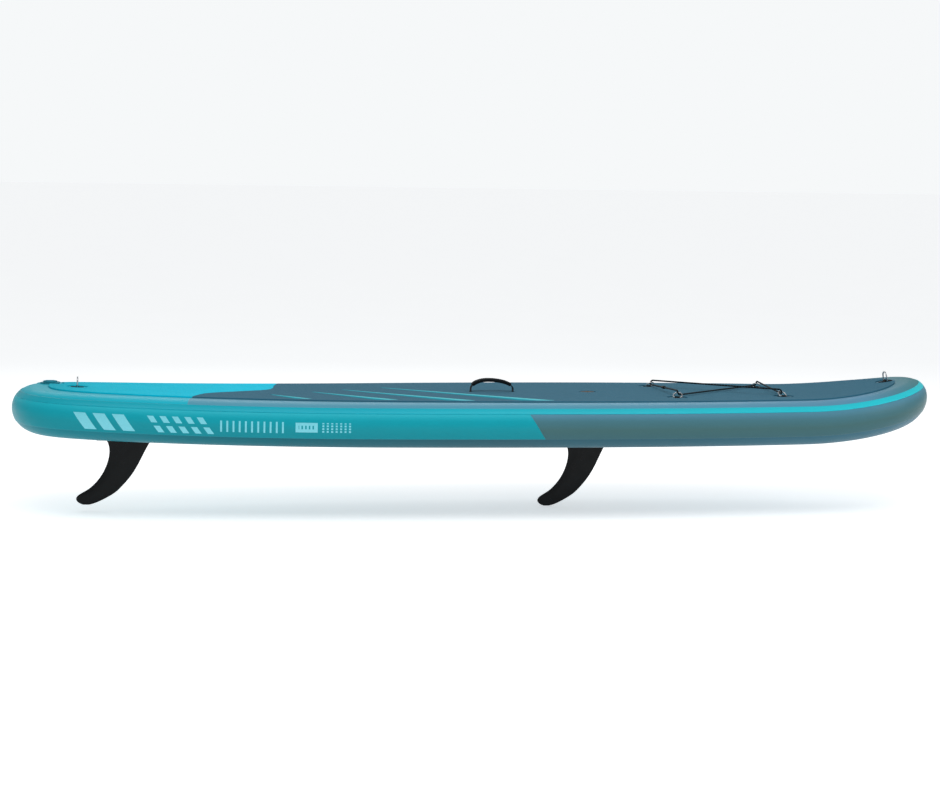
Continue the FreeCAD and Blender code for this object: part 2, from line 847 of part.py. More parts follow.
def bungee_corners():
    """Ring positions and the way each ring is pulled: (name, x, y, pull angle)."""
    rear_x = size("bungee_rear_station") - size("mast_station")
    front_x = size("bungee_front_station") - size("mast_station")
    rear_y, front_y = size("bungee_rear_half"), size("bungee_front_half")
    diagonal = math.degrees(math.atan2(rear_y + front_y, front_x - rear_x))
    half_angle = (90 - diagonal) / 2
    corners = []
    for end, x_place, y_place, pull in (
            ("rear", rear_x, rear_y, 90 - half_angle), ("front", front_x, front_y, 90 + half_angle)):
        corners.append((end + "_left", x_place, y_place, -pull))
        corners.append((end + "_right", x_place, -y_place, pull))
    return corners, half_angle


def wrap_points(corner, half_angle):
    """The cord's turn round one ring's crown, from its upper leg to its lower leg."""
    x_place, y_place, pull = corner[1:]
    ahead = Vector(math.cos(math.radians(pull)), math.sin(math.radians(pull)), 0)
    beside = Vector(-ahead.y, ahead.x, 0)
    tilt = math.radians(size("bungee_ring_tilt"))
    crown = size("ring_corner_radius") + size("bungee_ring_side") + size("bungee_ring_half_width")
    centre = Vector(x_place, y_place, ring_axis_height("bungee_wire_radius"))
    centre += ahead * (crown * math.cos(tilt)) + UP * (crown * math.sin(tilt))
    radius = size("bungee_wrap_radius")
    drift = radius * math.tan(math.radians(half_angle))
    points = []
    steps = 8
    for step in range(steps + 1):
        angle = math.pi / 2 + math.pi * step / steps
        spot = centre + ahead * (radius * math.cos(angle)) + UP * (radius * math.sin(angle))
        points.append(spot + beside * (drift * (math.pi - angle)))
    return points


def cord_turn(points, arriving, leaving):
    curve = Part.BSplineCurve()
    curve.interpolate(Points=points, InitialTangent=arriving, FinalTangent=leaving, Scale=True)
    return curve.toShape()


def build_bungee():
    corners, half_angle = bungee_corners()
    turns = {corner[0]: wrap_points(corner, half_angle) for corner in corners}
    # travel: joiner, rear right, front left, front right, rear left, joiner
    route = [turns["rear_right"], turns["front_left"][::-1], turns["front_right"][::-1], turns["rear_left"]]
    start = (turns["rear_left"][-1] + turns["rear_right"][0]) * 0.5
    span = (turns["rear_right"][0] - turns["rear_left"][-1]).normalize()
    end_gap = 0.5
    here = start + span * end_gap
    edges = []
    for index, points in enumerate(route):
        after = route[index + 1][0] if index + 1 < len(route) else start - span * end_gap
        arriving = (points[0] - here).normalize()
        leaving = (after - points[-1]).normalize()
        edges.append(Part.makeLine(here, points[0]))
        edges.append(cord_turn(points, arriving, leaving))
        here = points[-1]
    edges.append(Part.makeLine(here, start - span * end_gap))
    path = Part.Wire(edges)
    section = Part.Wire(Part.makeCircle(size("bungee_cord_radius"), edges[0].Vertexes[0].Point, span))
    feature("bungee_cord", path.makePipeShell([section], True, False))
    joiner_start = start - span * (size("joiner_length") / 2)
    sleeve = Part.makeCylinder(size("joiner_radius"), size("joiner_length"), joiner_start, span)
    bore = Part.makeCylinder(size("bungee_cord_radius") + 0.1, size("joiner_length"), joiner_start, span)
    feature("bungee_joiner", sleeve.cut(bore))

    patches = []
    loops = []
    for name, x_place, y_place, pull in corners:
        disc = Part.makeCylinder(size("ring_patch_radius"), size("patch_thickness"),
                                 Vector(x_place, y_place, size("layer_gap")))
        patches.append(disc)
        place = Placement(Vector(x_place, y_place, 0), Rotation(UP, pull))
        loop = loop_shape("bungee_wire_radius", "bungee_ring_half_width")
        loop.Placement = place
        loops.append(loop)
        tilt = Rotation(ACROSS, 90 - size("bungee_ring_tilt"))
        bar = Placement(Vector(0, 0, ring_axis_height("bungee_wire_radius")), tilt)
        ring_body("bungee_ring_" + name, "bungee_wire_radius", "bungee_ring_half_width",
                  "bungee_ring_side", place.multiply(bar))
    feature("bungee_patches", Part.makeCompound(patches))
    feature("bungee_loops", Part.makeCompound(loops))


# ---------------------------------------------------------------- inflation valve

def valve_place():
    station = size("valve_station")
    return Placement(Vector(station - size("mast_station"), size("valve_side"), lift(station)), Rotation())


def build_valve():
    station, across = size("valve_station"), size("valve_side")
    place = valve_place()
    hole = size("valve_barrel_radius") + 1
    feature("valve_patch", deck_patch(station, across, 44, hole))
    gasket_low = 2 * size("layer_gap") + size("patch_thickness")
    ring = column(station, across, size("valve_flange_radius")).cut(column(station, across, hole))
    wedge = layer_sheet(gasket_low, 12, station - 60, station + 60).common(ring)
    ceiling = Part.makeBox(200, 200, 50, place.Base + Vector(-100, -100, 2.9))
    feature("valve_gasket", wedge.cut(ceiling))

    body = turned("valve_body", [
        ("valve_bore_radius", "6"),
        ("valve_flange_radius - 2", "valve_flange_top"),
        ("valve_flange_radius", "valve_flange_top - 1.5"),
        ("valve_flange_radius", "3"),
        ("valve_barrel_radius", "3"),
        ("valve_barrel_radius", "-valve_depth"),
        ("valve_seat_radius", "-valve_depth"),
        ("valve_seat_radius", "3 - valve_depth"),
        ("valve_bore_radius", "3 - valve_depth"),
    ], place)
    hub = new_sketch(body, "hub_plan", "XY_Plane", "5 - valve_depth")
    add_circle(hub, 0, 0, "6")
    grow(body, "Pad", hub, "3")
    across_bore = "2 * valve_bore_radius + 1"
    for number, (wide, deep) in enumerate(((across_bore, "3"), ("3", across_bore))):
        spoke = new_sketch(body, "spoke_%d" % number, "XY_Plane", "5 - valve_depth")
        add_rectangle(spoke, ("-(%s) / 2" % wide, "-(%s) / 2" % deep), ("(%s) / 2" % wide, "(%s) / 2" % deep))
        grow(body, "Pad", spoke, "3")
    bore = new_sketch(body, "stem_bore", "XY_Plane", "5 - valve_depth - 1")
    add_circle(bore, 0, 0, "stem_radius + 0.05")
    grow(body, "Pocket", bore, "6", back=True)

    turned("valve_nut", [
        ("valve_barrel_radius + 0.1", "-3.2"),
        ("valve_flange_radius", "-3.2"),
        ("valve_flange_radius", "-6"),
        ("valve_flange_radius - 4", "-7"),
        ("valve_flange_radius - 4", "-14"),
        ("valve_barrel_radius + 0.1", "-14"),
    ], place)
    turned("valve_stem", [
        ("0", "-3"),
        ("6", "-3"),
        ("6", "-5"),
        ("stem_radius", "-5"),
        ("stem_radius", "-valve_depth - 2.6"),
        ("valve_seat_radius + 2.5", "-valve_depth - 2.6"),
        ("valve_seat_radius + 2.5", "-valve_depth - 4.6"),
        ("0", "-valve_depth - 4.6"),
    ], place)
    turned("valve_stem_seal", [
        ("stem_radius + 0.05", "-valve_depth - 0.2"),
        ("valve_seat_radius + 2", "-valve_depth - 0.2"),
        ("valve_seat_radius + 2", "-valve_depth - 2.5"),
        ("stem_radius + 0.05", "-valve_depth - 2.5"),
    ], place)
    turned("valve_cap", [
        ("0", "valve_cap_top"),
        ("valve_cap_radius - 2", "valve_cap_top"),
        ("valve_cap_radius", "valve_cap_top - 1.5"),
        ("valve_cap_radius", "valve_cap_top - 2.5"),
        ("valve_cap_radius - 3", "valve_cap_top - 2.5"),
        ("valve_cap_radius - 3", "6.2"),
        ("valve_bore_radius - 0.5", "6.2"),
        ("valve_bore_radius - 0.5", "4.4"),
        ("valve_bore_radius - 2.2", "4.4"),
        ("valve_bore_radius - 2.2", "2"),
        ("valve_bore_radius - 0.5", "2"),
        ("valve_bore_radius - 0.5", "0"),
        ("valve_bore_radius - 4", "0"),
        ("valve_bore_radius - 4", "valve_cap_top - 3"),
        ("0", "valve_cap_top - 3"),
    ], place)
    seal = DOC.addObject("Part::Torus", "valve_cap_seal")
    seal.setExpression("Radius1", linked("valve_bore_radius - 1.15"))
    seal.setExpression("Radius2", "1")
    publish(seal, "valve_cap_seal", place.multiply(Placement(Vector(0, 0, 3.2), Rotation())))

    turned("tether_anchor", [
        ("valve_flange_radius + 0.2", "3.2"),
        ("valve_flange_radius + 3", "3.2"),
        ("valve_flange_radius + 3", "5.2"),
        ("valve_flange_radius + 0.2", "5.2"),
    ], place)
    tether = turned("cap_tether", [
        ("valve_cap_radius - 2.9", "6.4"),
        ("valve_cap_radius", "6.4"),
        ("valve_cap_radius", "8.2"),
        ("valve_cap_radius - 2.9", "8.2"),
    ], place)
    strap = new_sketch(tether, "strap_profile_side", "XZ_Plane")
    strap_end, step = "valve_flange_radius + 3", "valve_flange_radius + 0.4"
    add_outline(strap, [
        ("valve_cap_radius - 1", "6.4"),
        (step, "6.4"),
        (step, "5.5"),
        (strap_end, "5.5"),
        (strap_end, "8.2"),
        ("valve_cap_radius - 1", "8.2"),
    ])
    grow(tether, "Pad", strap, "6", both=True)
    build_spring(place)


def build_spring(place):
    """Return spring between the spider's hub and the stem's button."""
    low = 8 - size("valve_depth") + size("spring_wire_radius") + 0.1
    high = -5 - size("spring_wire_radius") - 0.1
    turns = 5
    helix = Part.makeHelix((high - low) / turns, high - low, size("spring_radius"))
    first_turn = Vector(size("spring_radius"), 0, 0)
    section = Part.Wire(Part.makeCircle(size("spring_wire_radius"), first_turn, ACROSS))
    coil = Part.Wire(helix).makePipeShell([section], True, True)
    feature("valve_spring", coil, place.multiply(Placement(Vector(0, 0, low), Rotation())))


# ---------------------------------------------------------------- fins

# share of the depth below the base, then rear edge, front edge and thickness as shares of
# the chord and the full thickness
FIN_SECTIONS = [
    (0.00, -0.11, 0.89, 1.00),
    (0.10, -0.05, 0.81, 0.98),
    (0.30, -0.06, 0.67, 0.90),
    (0.50, -0.17, 0.51, 0.78),
    (0.72, -0.42, 0.25, 0.60),
    (0.85, -0.70, 0.02, 0.50),
    (0.93, -0.755, -0.19, 0.42),
    (0.98, -0.68, -0.36, 0.30),
    (1.00, -0.60, -0.47, 0.18),
]


# middle of the tab forward of the blade's rear edge, and the height of the pin in its channel
FIN_MIDDLE = "0.44 * fin_chord"
FIN_CHANNEL_HEIGHT = "-16.5"


def fin_body(name, place):
    """Fin blade lofted from lens sections, on a tab that stands in the box's slot."""
    body = new_body(name)
    depth = size("fin_tip_depth") - size("fin_base_depth")
    sketches = []
    for number, (share, rear, front, thick) in enumerate(FIN_SECTIONS):
        height = -size("fin_base_depth") - share * depth
        sketch = new_sketch(body, "%s_section_%d" % (name, number), "XY_Plane", height)
        rear_x, front_x = rear * size("fin_chord"), front * size("fin_chord")
        half = thick * size("fin_thickness") / 2
        middle = (rear_x + front_x) / 2
        ends = (Vector(rear_x, 0, 0), Vector(front_x, 0, 0))
        sketch.addGeometry([
            Part.Arc(ends[0], Vector(middle, half, 0), ends[1]),
            Part.Arc(ends[1], Vector(middle, -half, 0), ends[0]),
        ], False)
        sketches.append(sketch)
    loft = body.newObject("PartDesign::AdditiveLoft", name + "_blade")
    loft.Profile = sketches[0]
    loft.Sections = sketches[1:]
    loft.Ruled = False
    middle = FIN_MIDDLE
    front = "%s + fin_tab_length / 2" % middle
    rear = "%s - fin_tab_length / 2" % middle
    tab = new_sketch(body, name + "_tab", "XZ_Plane")
    add_outline(tab, [
        (rear, "-fin_base_depth"),
        (rear, "-6"),
        (front + " - fin_tab_notch", "-6"),
        (front + " - fin_tab_notch", "-fin_base_depth + 4"),
        (front, "-fin_base_depth + 4"),
        (front, "-fin_base_depth"),
    ])
    grow(body, "Pad", tab, "fin_tab_thickness", both=True)
    pin_hole = new_sketch(body, name + "_pin_hole", "XZ_Plane")
    add_circle(pin_hole, rear + " + fin_fixing_inset", FIN_CHANNEL_HEIGHT, "fin_pin_radius + 0.04")
    grow(body, "Pocket", pin_hole, "fin_tab_thickness * 2", both=True)
    screw_hole = new_sketch(body, name + "_screw_hole", "XY_Plane", "-fin_base_depth")
    add_circle(screw_hole, front + " - fin_fixing_inset", "0", "fin_screw_radius + 0.15")
    grow(body, "Pocket", screw_hole, "10", both=True)
    return publish(body, name, place)


def fin_box_body(name, place):
    """Box with a long slot, and a wider channel inside it for the pin and the plate."""
    body = new_body(name)
    base = new_sketch(body, name + "_base", "XY_Plane", "-4.5")
    half_long = "(fin_box_length / 2 + fin_flange_length)"
    half_wide = "(fin_box_width / 2 + fin_flange_width)"
    add_rectangle(base, ("%s - %s" % (FIN_MIDDLE, half_long), "-" + half_wide),
                  ("%s + %s" % (FIN_MIDDLE, half_long), half_wide))
    grow(body, "Pad", base, "2.9")
    block = new_sketch(body, name + "_block", "XY_Plane", "-fin_base_depth")
    add_rectangle(block, (FIN_MIDDLE + " - fin_box_length / 2", "-fin_box_width / 2"),
                  (FIN_MIDDLE + " + fin_box_length / 2", "fin_box_width / 2"))
    grow(body, "Pad", block, "fin_base_depth - 4")
    slots = (
        ("slot", "-fin_base_depth", "fin_slot_length", "fin_slot_width", "fin_base_depth - 5"),
        ("channel", "-19", "fin_slot_length", "fin_channel_width", "5"),
        ("entry", "-fin_base_depth", "18", "fin_channel_width", "8"),
    )
    for part, height, length, width, deep in slots:
        sketch = new_sketch(body, name + "_" + part, "XY_Plane", height)
        add_rectangle(sketch, ("%s - (%s) / 2" % (FIN_MIDDLE, length), "-(%s) / 2" % width),
                      ("%s + (%s) / 2" % (FIN_MIDDLE, length), "(%s) / 2" % width))
        grow(body, "Pocket", sketch, deep, back=True)
    return publish(body, name, place)


def build_fin(name, station):
    """One fin with its box, patch and fixings; the local origin is on the hull's bottom."""
    middle = station + value(FIN_MIDDLE)
    bottom = -size("board_thickness")
    slope = lift_slope(middle)
    tilt = Rotation(ACROSS, -math.degrees(math.atan(slope)))
    seat = Placement(Vector(middle - size("mast_station"), 0, lift(middle) + bottom), tilt)
    place = seat.multiply(Placement(Vector(-value(FIN_MIDDLE), 0, 0), Rotation()))

    low, thick = size("layer_gap"), size("patch_thickness")
    half_length = size("fin_box_length") / 2 + size("fin_patch_margin_length")
    half_wide = size("fin_box_width") / 2 + size("fin_patch_margin_width")
    sheet = layer_sheet(-low - thick, -low, middle - half_length - 20, middle + half_length + 20, bottom)
    plan = plan_polygon([(middle - half_length, -half_wide), (middle + half_length, -half_wide),
                         (middle + half_length, half_wide), (middle - half_length, half_wide)])
    block = tall(Part.Face(plan))
    upright = [edge for edge in block.Edges if abs(edge.tangentAt(edge.FirstParameter).z) > 0.9]
    feature(name + "_patch", sheet.common(block.makeFillet(30, upright)))

    fin_box_body(name + "_box", place)
    fin_body(name, place)

    pin = DOC.addObject("Part::Cylinder", name + "_pin")
    pin.setExpression("Radius", linked("fin_pin_radius"))
    pin.setExpression("Height", linked("fin_channel_width - 1.5"))
    pin_x = value(FIN_MIDDLE + " - fin_tab_length / 2 + fin_fixing_inset")
    spot = Vector(pin_x, -value("fin_channel_width - 1.5") / 2, value(FIN_CHANNEL_HEIGHT))
    publish(pin, name + "_pin", place.multiply(Placement(spot, Rotation(ALONG, -90))))

    screw_x = FIN_MIDDLE + " + fin_tab_length / 2 - fin_fixing_inset"
    plate = new_body(name + "_plate")
    plan = new_sketch(plate, name + "_plate_plan", "XY_Plane", "-18")
    add_rectangle(plan, (screw_x + " - 6", "-8"), (screw_x + " + 6", "8"))
    add_circle(plan, screw_x, "0", "fin_screw_radius + 0.05")
    grow(plate, "Pad", plan, "3")
    publish(plate, name + "_plate", place)

    spot = Placement(Vector(value(screw_x), 0, -size("fin_base_depth")), Rotation())
    turned(name + "_screw", [
        ("0", "10.6"),
        ("fin_screw_radius", "10.6"),
        ("fin_screw_radius", "-0.1"),
        ("3.8", "-0.1"),
        ("3.8", "-1.6"),
        ("2.6", "-2.6"),
        ("0", "-2.6"),
    ], place.multiply(spot))


# ---------------------------------------------------------------- build and write

def build_all():
    build_skins()
    build_rail_bands()
    build_yarns()
    build_pads()
    build_mast_foot()
    build_handle()
    build_tow_ring("nose", "nose_ring_station")
    build_tow_ring("tail", "tail_ring_station")
    build_bungee()
    build_valve()
    build_fin("tail_fin", size("tail_fin_station"))
    build_fin("centre_fin", size("centre_fin_station"))


def check_document():
    """Stops if any object failed, or any sub-part has no valid shape."""
    for thing in DOC.Objects:
        failed = {"Invalid", "Error"} & set(thing.State)
        if failed:
            raise RuntimeError("%s is %s" % (thing.Label, sorted(failed)))
    for thing in OUTPUT:
        if thing.Shape.isNull() or not thing.Shape.isValid():
            raise RuntimeError("%s has no valid shape" % thing.Label)
        if not thing.Shape.Solids:
            raise RuntimeError("%s has no solid" % thing.Label)


def write_parts():
    os.makedirs("parts", exist_ok=True)
    for thing in OUTPUT:
        thing.Shape.exportStep(os.path.join("parts", thing.Label + ".step"))


fill_sheet()
build_all()
DOC.recompute()
check_document()
write_parts()
print("%d sub-parts" % len(OUTPUT))
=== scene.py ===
import json
import math

import bmesh
import bpy
import numpy as np
from mathutils import Matrix, Vector


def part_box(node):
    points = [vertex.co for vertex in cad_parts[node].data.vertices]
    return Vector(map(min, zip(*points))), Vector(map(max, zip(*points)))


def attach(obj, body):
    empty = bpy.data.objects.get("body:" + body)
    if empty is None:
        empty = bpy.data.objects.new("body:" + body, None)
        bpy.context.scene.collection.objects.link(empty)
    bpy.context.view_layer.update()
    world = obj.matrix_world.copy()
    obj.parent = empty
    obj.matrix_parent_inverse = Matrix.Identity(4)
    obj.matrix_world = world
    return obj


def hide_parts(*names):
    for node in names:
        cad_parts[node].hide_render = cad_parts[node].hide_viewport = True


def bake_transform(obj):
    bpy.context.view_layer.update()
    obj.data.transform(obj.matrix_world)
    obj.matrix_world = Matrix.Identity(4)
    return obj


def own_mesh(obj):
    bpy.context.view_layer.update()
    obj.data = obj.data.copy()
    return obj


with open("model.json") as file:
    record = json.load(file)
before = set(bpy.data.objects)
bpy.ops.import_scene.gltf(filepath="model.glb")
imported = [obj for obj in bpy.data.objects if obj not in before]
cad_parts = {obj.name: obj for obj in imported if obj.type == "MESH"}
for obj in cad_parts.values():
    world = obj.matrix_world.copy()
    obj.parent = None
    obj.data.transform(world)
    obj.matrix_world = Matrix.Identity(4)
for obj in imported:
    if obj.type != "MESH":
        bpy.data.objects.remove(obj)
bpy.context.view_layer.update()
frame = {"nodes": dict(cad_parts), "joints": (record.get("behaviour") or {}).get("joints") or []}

SCENE = bpy.context.scene
RANDOM = np.random.default_rng(11)
MM = 0.001

# ---------------------------------------------------------------- sizes

WALL_LOW, WALL_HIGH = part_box("inner_rail_wall")
TAIL_X = WALL_LOW.x
LENGTH = WALL_HIGH.x - WALL_LOW.x
HALF_WIDTH = WALL_HIGH.y
THICKNESS = -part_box("bottom_skin")[0].z
CORE = THICKNESS / 2

WIDEST = 1.900
NOSE_TAPER, NOSE_ROUNDNESS = 0.38, 9.4
TAIL_TAPER, TAIL_ROUNDNESS = 0.40, 25
NOSE_LIFT, NOSE_LIFT_START, NOSE_LIFT_POWER = 0.070, 2.680, 1.95
TAIL_LIFT, TAIL_LIFT_START, TAIL_LIFT_POWER = 0.028, 1.250, 2.2

# angles round the rail, in degrees above level
TOP_SEAM = 53
STRIPE_EDGE = 34.5
BOTTOM_SEAM = -32
WALL_ANGLE = 30
ANGLE_GAP = 0.3

SKIN_THICKNESS = 1.3 * MM
BAND_THICKNESS = 1.2 * MM
LAYER_GAP = 0.15 * MM
PATCH_THICKNESS = 1.0 * MM
TIP_SWEEP = 0.0006
BREAK_SWEEP = 0.0002
BREAK_TOP, BREAK_BOTTOM = 1.690, 1.745

PAD_LOW = LAYER_GAP
PAD_TOP = PAD_LOW + 5 * MM
PAD_GAP = 0.4 * MM
PAD_CHAMFER = 1.3 * MM
GROOVE_DEPTH = 1.5 * MM
GROOVE_HALF = 1.5 * MM
CHAMFER_SLOPE = 1.0
CUT_LOW, CUT_HIGH = -5 * MM, 12 * MM
DIAMOND_LONG, DIAMOND_WIDE = 0.030, 0.018
# colour break of the pad, as (station, side) from the right rail to the left
PAD_WAVE = [(0.555, -0.42), (0.572, -0.28), (0.640, -0.11), (0.760, -0.022),
            (0.868, 0.06), (0.905, 0.23), (0.960, 0.42)]
# slashes: tip station and side, end station and side, width at the end
PAD_SLASHES = {
    "pad_slash_1": (0.860, -0.118, 0.955, -0.245, 0.060),
    "pad_slash_2": (1.010, -0.018, 1.232, -0.272, 0.082),
    "pad_slash_3": (1.122, 0.062, 1.478, -0.298, 0.100),
    "pad_slash_4": (1.268, 0.135, 1.738, -0.300, 0.118),
}
SLASH_TIP = 0.014

# plan radii and lengths of the fittings and of what the pad and skin leave free for them
MAST_HOLE, MAST_OPENING, MAST_RECESS = 18.3 * MM, 29 * MM, 61.5 * MM
RING_PATCH, RING_OPENING = 34 * MM, 36.5 * MM
VALVE_HOLE, VALVE_PATCH_HOLE = 24.5 * MM, 24.6 * MM
VALVE_PATCH, VALVE_OPENING = 44 * MM, 48 * MM
HANDLE_PATCH, HANDLE_RECESS, HANDLE_PATCH_SHIFT = 40 * MM, 41.5 * MM, 22 * MM
FOOT_RECESS_LENGTH, FOOT_RECESS_HALF, FOOT_RECESS_HEIGHT = 54 * MM, 13.5 * MM, 1.6 * MM
STRAP_SLOT_INNER, STRAP_SLOT_OUTER, STRAP_SLOT_HALF = 4 * MM, 5 * MM, 14.5 * MM
CORD_RADIUS = 3.0 * MM

# puckers of the rail cloth: wave lengths along the rail and how far in from a seam they fade
RIPPLE_LENGTHS = (0.019, 0.027, 0.041, 0.066)
RIPPLE_FADE = 7.0

# printed marks of the rear rail: first and last station, pitch, printed share, lowest and
# highest angle
WIDE_BARS = (0.215, 0.392, 0.062, 0.62, -24, 17)
EVEN_BARS = (0.452, 0.633, 0.040, 0.50, -24, 17)
FINE_BARS = (0.673, 0.880, 0.020, 0.30, -17, 11)
TICKS = (1.004, 1.102, 0.0145, 0.45, -14, 10)
PILL_MIDDLE, PILL_HALF, PILL_SLOTS_HALF = 0.953, 0.036, 0.026

ACROSS = np.array([0.0, 1.0, 0.0])
UP = (0, 0, 1)


def middle_of(node):
    low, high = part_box(node)
    return (low + high) / 2


def half_width(station):
    station = np.asarray(station, float)
    nose = station >= WIDEST
    reach = np.where(nose, (station - WIDEST) / (LENGTH - WIDEST), (WIDEST - station) / WIDEST)
    taper = np.where(nose, NOSE_TAPER, TAIL_TAPER)
    power = np.where(nose, NOSE_ROUNDNESS, TAIL_ROUNDNESS)
    bulge = np.sqrt(np.clip(1 - np.abs(reach) ** power, 0, None))
    return HALF_WIDTH * (1 - taper * reach ** 2) * bulge


def lift(station):
    """Rocker: how far the hull rises above its flat middle."""
    station = np.asarray(station, float)
    nose = np.clip((station - NOSE_LIFT_START) / (LENGTH - NOSE_LIFT_START), 0, None)
    tail = np.clip((TAIL_LIFT_START - station) / TAIL_LIFT_START, 0, None)
    return NOSE_LIFT * nose ** NOSE_LIFT_POWER + TAIL_LIFT * tail ** TAIL_LIFT_POWER


def deck_height(x):
    return lift(np.asarray(x, float) - TAIL_X)


def deck_matrix(x, y, turn=0.0):
    """Frame on the deck skin at (x, y), tilted with the rocker and turned about its normal."""
    step = 0.5 * MM
    slope = (deck_height(x + step) - deck_height(x - step)) / (2 * step)
    tilt = Matrix.Rotation(-math.atan(float(slope)), 4, "Y")
    place = Matrix.Translation((x, y, float(deck_height(x))))
    return place @ tilt @ Matrix.Rotation(turn, 4, "Z")


def outline(sweep, inset=0.0):
    """Points of the plan outline moved inwards along its normal: station, side, normal."""
    sweep = np.asarray(sweep, float)
    station = LENGTH / 2 * (1 - np.cos(sweep))
    step = np.minimum(1e-5, np.minimum(station, LENGTH - station) * 0.01) + 1e-12
    slope = (half_width(station + step) - half_width(station - step)) / (2 * step)
    span = np.hypot(slope, 1)
    tip = (sweep < 1e-9) | (sweep > math.pi - 1e-9)
    out_x = np.where(tip, np.where(sweep < 1, -1.0, 1.0), -slope / span)
    out_y = np.where(tip, 0.0, 1 / span)
    across = np.where(tip, 0.0, half_width(station) - inset * out_y)
    return station - inset * out_x, across, out_x, out_y


def rail(side, radius, angle, sweep):
    """Points of the rail surface; angle is in degrees above level."""
    station, across, out_x, out_y = outline(sweep, CORE)
    turn = np.radians(angle)
    out = radius * np.cos(turn)
    station = station + out * out_x
    height = radius * np.sin(turn) - CORE + lift(station)
    return np.stack([station + TAIL_X, side * (across + out * out_y), height], -1)


def joint_of(name):
    return next(joint for joint in frame["joints"] if joint["name"] == name)


def pivot_of(name):
    return Vector(joint_of(name)["pos_m"])


BUNGEE_CORNERS = ("rear_left", "rear_right", "front_left", "front_right")
VALVE = middle_of("valve_cap")

FEET_LOW, FEET_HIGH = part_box("handle_feet")
STRAP_LOW, STRAP_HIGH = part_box("handle_webbing")
WEB_WIDTH = STRAP_HIGH.y - STRAP_LOW.y
WEB_THICKNESS = 2.0 * MM
WEB_INSET = 1.1 * MM
FOOT_BEND = 5 * MM
FOOT_Z = FEET_LOW.z + WEB_THICKNESS / 2 + 0.05 * MM
HANDLE_REAR_X = STRAP_LOW.x + WEB_INSET
HANDLE_FRONT_X = STRAP_HIGH.x - WEB_INSET
HANDLE_TOP = STRAP_HIGH.z - WEB_INSET
HANDLE_APEX_X = HANDLE_REAR_X + 59 * MM
HANDLE_PIVOT = pivot_of("handle_swing")
# each end of the handle: its name, its place and the way its foot points
HANDLE_ENDS = (("rear", HANDLE_REAR_X, -1), ("front", HANDLE_FRONT_X, 1))


# ---------------------------------------------------------------- mesh helpers

def make_object(name, points, faces, **attributes):
    mesh = bpy.data.meshes.new(name)
    mesh.from_pydata(np.asarray(points, float).reshape(-1, 3).tolist(), [], faces)
    for key, values in attributes.items():
        layer = mesh.attributes.new(key, "FLOAT", "POINT")
        layer.data.foreach_set("value", np.asarray(values, np.float32).ravel())
    obj = bpy.data.objects.new(name, mesh)
    SCENE.collection.objects.link(obj)
    return obj


def clean(obj, distance=1e-5, sharp=32):
    """Joins doubled points, turns faces outwards and shades smooth except over sharp edges."""
    mesh = bmesh.new()
    mesh.from_mesh(obj.data)
    bmesh.ops.remove_doubles(mesh, verts=mesh.verts, dist=distance)
    bmesh.ops.dissolve_degenerate(mesh, dist=distance / 10, edges=mesh.edges)
    bmesh.ops.recalc_face_normals(mesh, faces=mesh.faces)
    mesh.to_mesh(obj.data)
    mesh.free()
    obj.data.shade_smooth()
    obj.data.set_sharp_from_angle(angle=math.radians(sharp))
    return obj


def grid_faces(rows, columns, loop_rows=False, loop_columns=False):
    """Quads of a grid of points stored row by row."""
    faces = []
    for row in range(rows if loop_rows else rows - 1):
        after = (row + 1) % rows
        for column in range(columns if loop_columns else columns - 1):
            beside = (column + 1) % columns
            faces.append((row * columns + column, row * columns + beside,
                          after * columns + beside, after * columns + column))
    return faces


def sleeve_faces(rows, columns):
    """Faces of a grid whose rows form a loop, closed at both ends."""
    first = [row * columns for row in range(rows)]
    last = [start + columns - 1 for start in first]
    return grid_faces(rows, columns, loop_rows=True) + [tuple(first), tuple(reversed(last))]


def stack_faces(rows, columns, start=0):
    """Faces of a stack of rings, one ring a row, closed below and above."""
    faces = grid_faces(rows, columns, loop_columns=True)
    faces += [tuple(reversed(range(columns))), tuple(range((rows - 1) * columns, rows * columns))]
    return [tuple(start + index for index in face) for face in faces]


def face_outwards(obj):
    mesh = bmesh.new()
    mesh.from_mesh(obj.data)
    bmesh.ops.recalc_face_normals(mesh, faces=mesh.faces)
    mesh.to_mesh(obj.data)
    mesh.free()
    return obj


def full_turn(count):
    """Evenly spaced angles once round."""
    return np.linspace(0, 2 * math.pi, count, endpoint=False)


def tangents_of(points):
    tangents = np.gradient(np.asarray(points, float), axis=0)
    return tangents / np.linalg.norm(tangents, axis=1)[:, None]


def path_frames(points):
    """Normals carried smoothly along a path, and the sides that go with them."""
    tangents = tangents_of(points)
    start = np.array([0.0, 0.0, 1.0])
    if abs(tangents[0] @ start) > 0.9:
        start = ACROSS
    normals = []
    for tangent in tangents:
        start = start - tangent * (start @ tangent)
        start = start / np.linalg.norm(start)
        normals.append(start)
    normals = np.array(normals)
    return normals, np.cross(tangents, normals)


def travelled(points):
    """Distance along a path at each of its points."""
    steps = np.linalg.norm(np.diff(points, axis=0), axis=1)
    return np.concatenate([[0.0], np.cumsum(steps)])


def resample(points, spacing):
    """A smooth path through points, at an even spacing (Catmull-Rom)."""
    points = np.asarray(points, float)
    padded = np.vstack([2 * points[0] - points[1], points, 2 * points[-1] - points[-2]])
    fine = []
    for before, here, after, beyond in zip(padded, padded[1:], padded[2:], padded[3:]):
        for share in np.linspace(0, 1, 12, endpoint=False):
            fine.append(0.5 * (2 * here + (after - before) * share
                               + (2 * before - 5 * here + 4 * after - beyond) * share ** 2
                               + (3 * here - before - 3 * after + beyond) * share ** 3))
    fine = np.vstack([fine, points[-1:]])
    length = travelled(fine)
    marks = np.linspace(0, length[-1], max(3, int(length[-1] / spacing) + 1))
    return np.stack([np.interp(marks, length, fine[:, axis]) for axis in range(3)], -1)


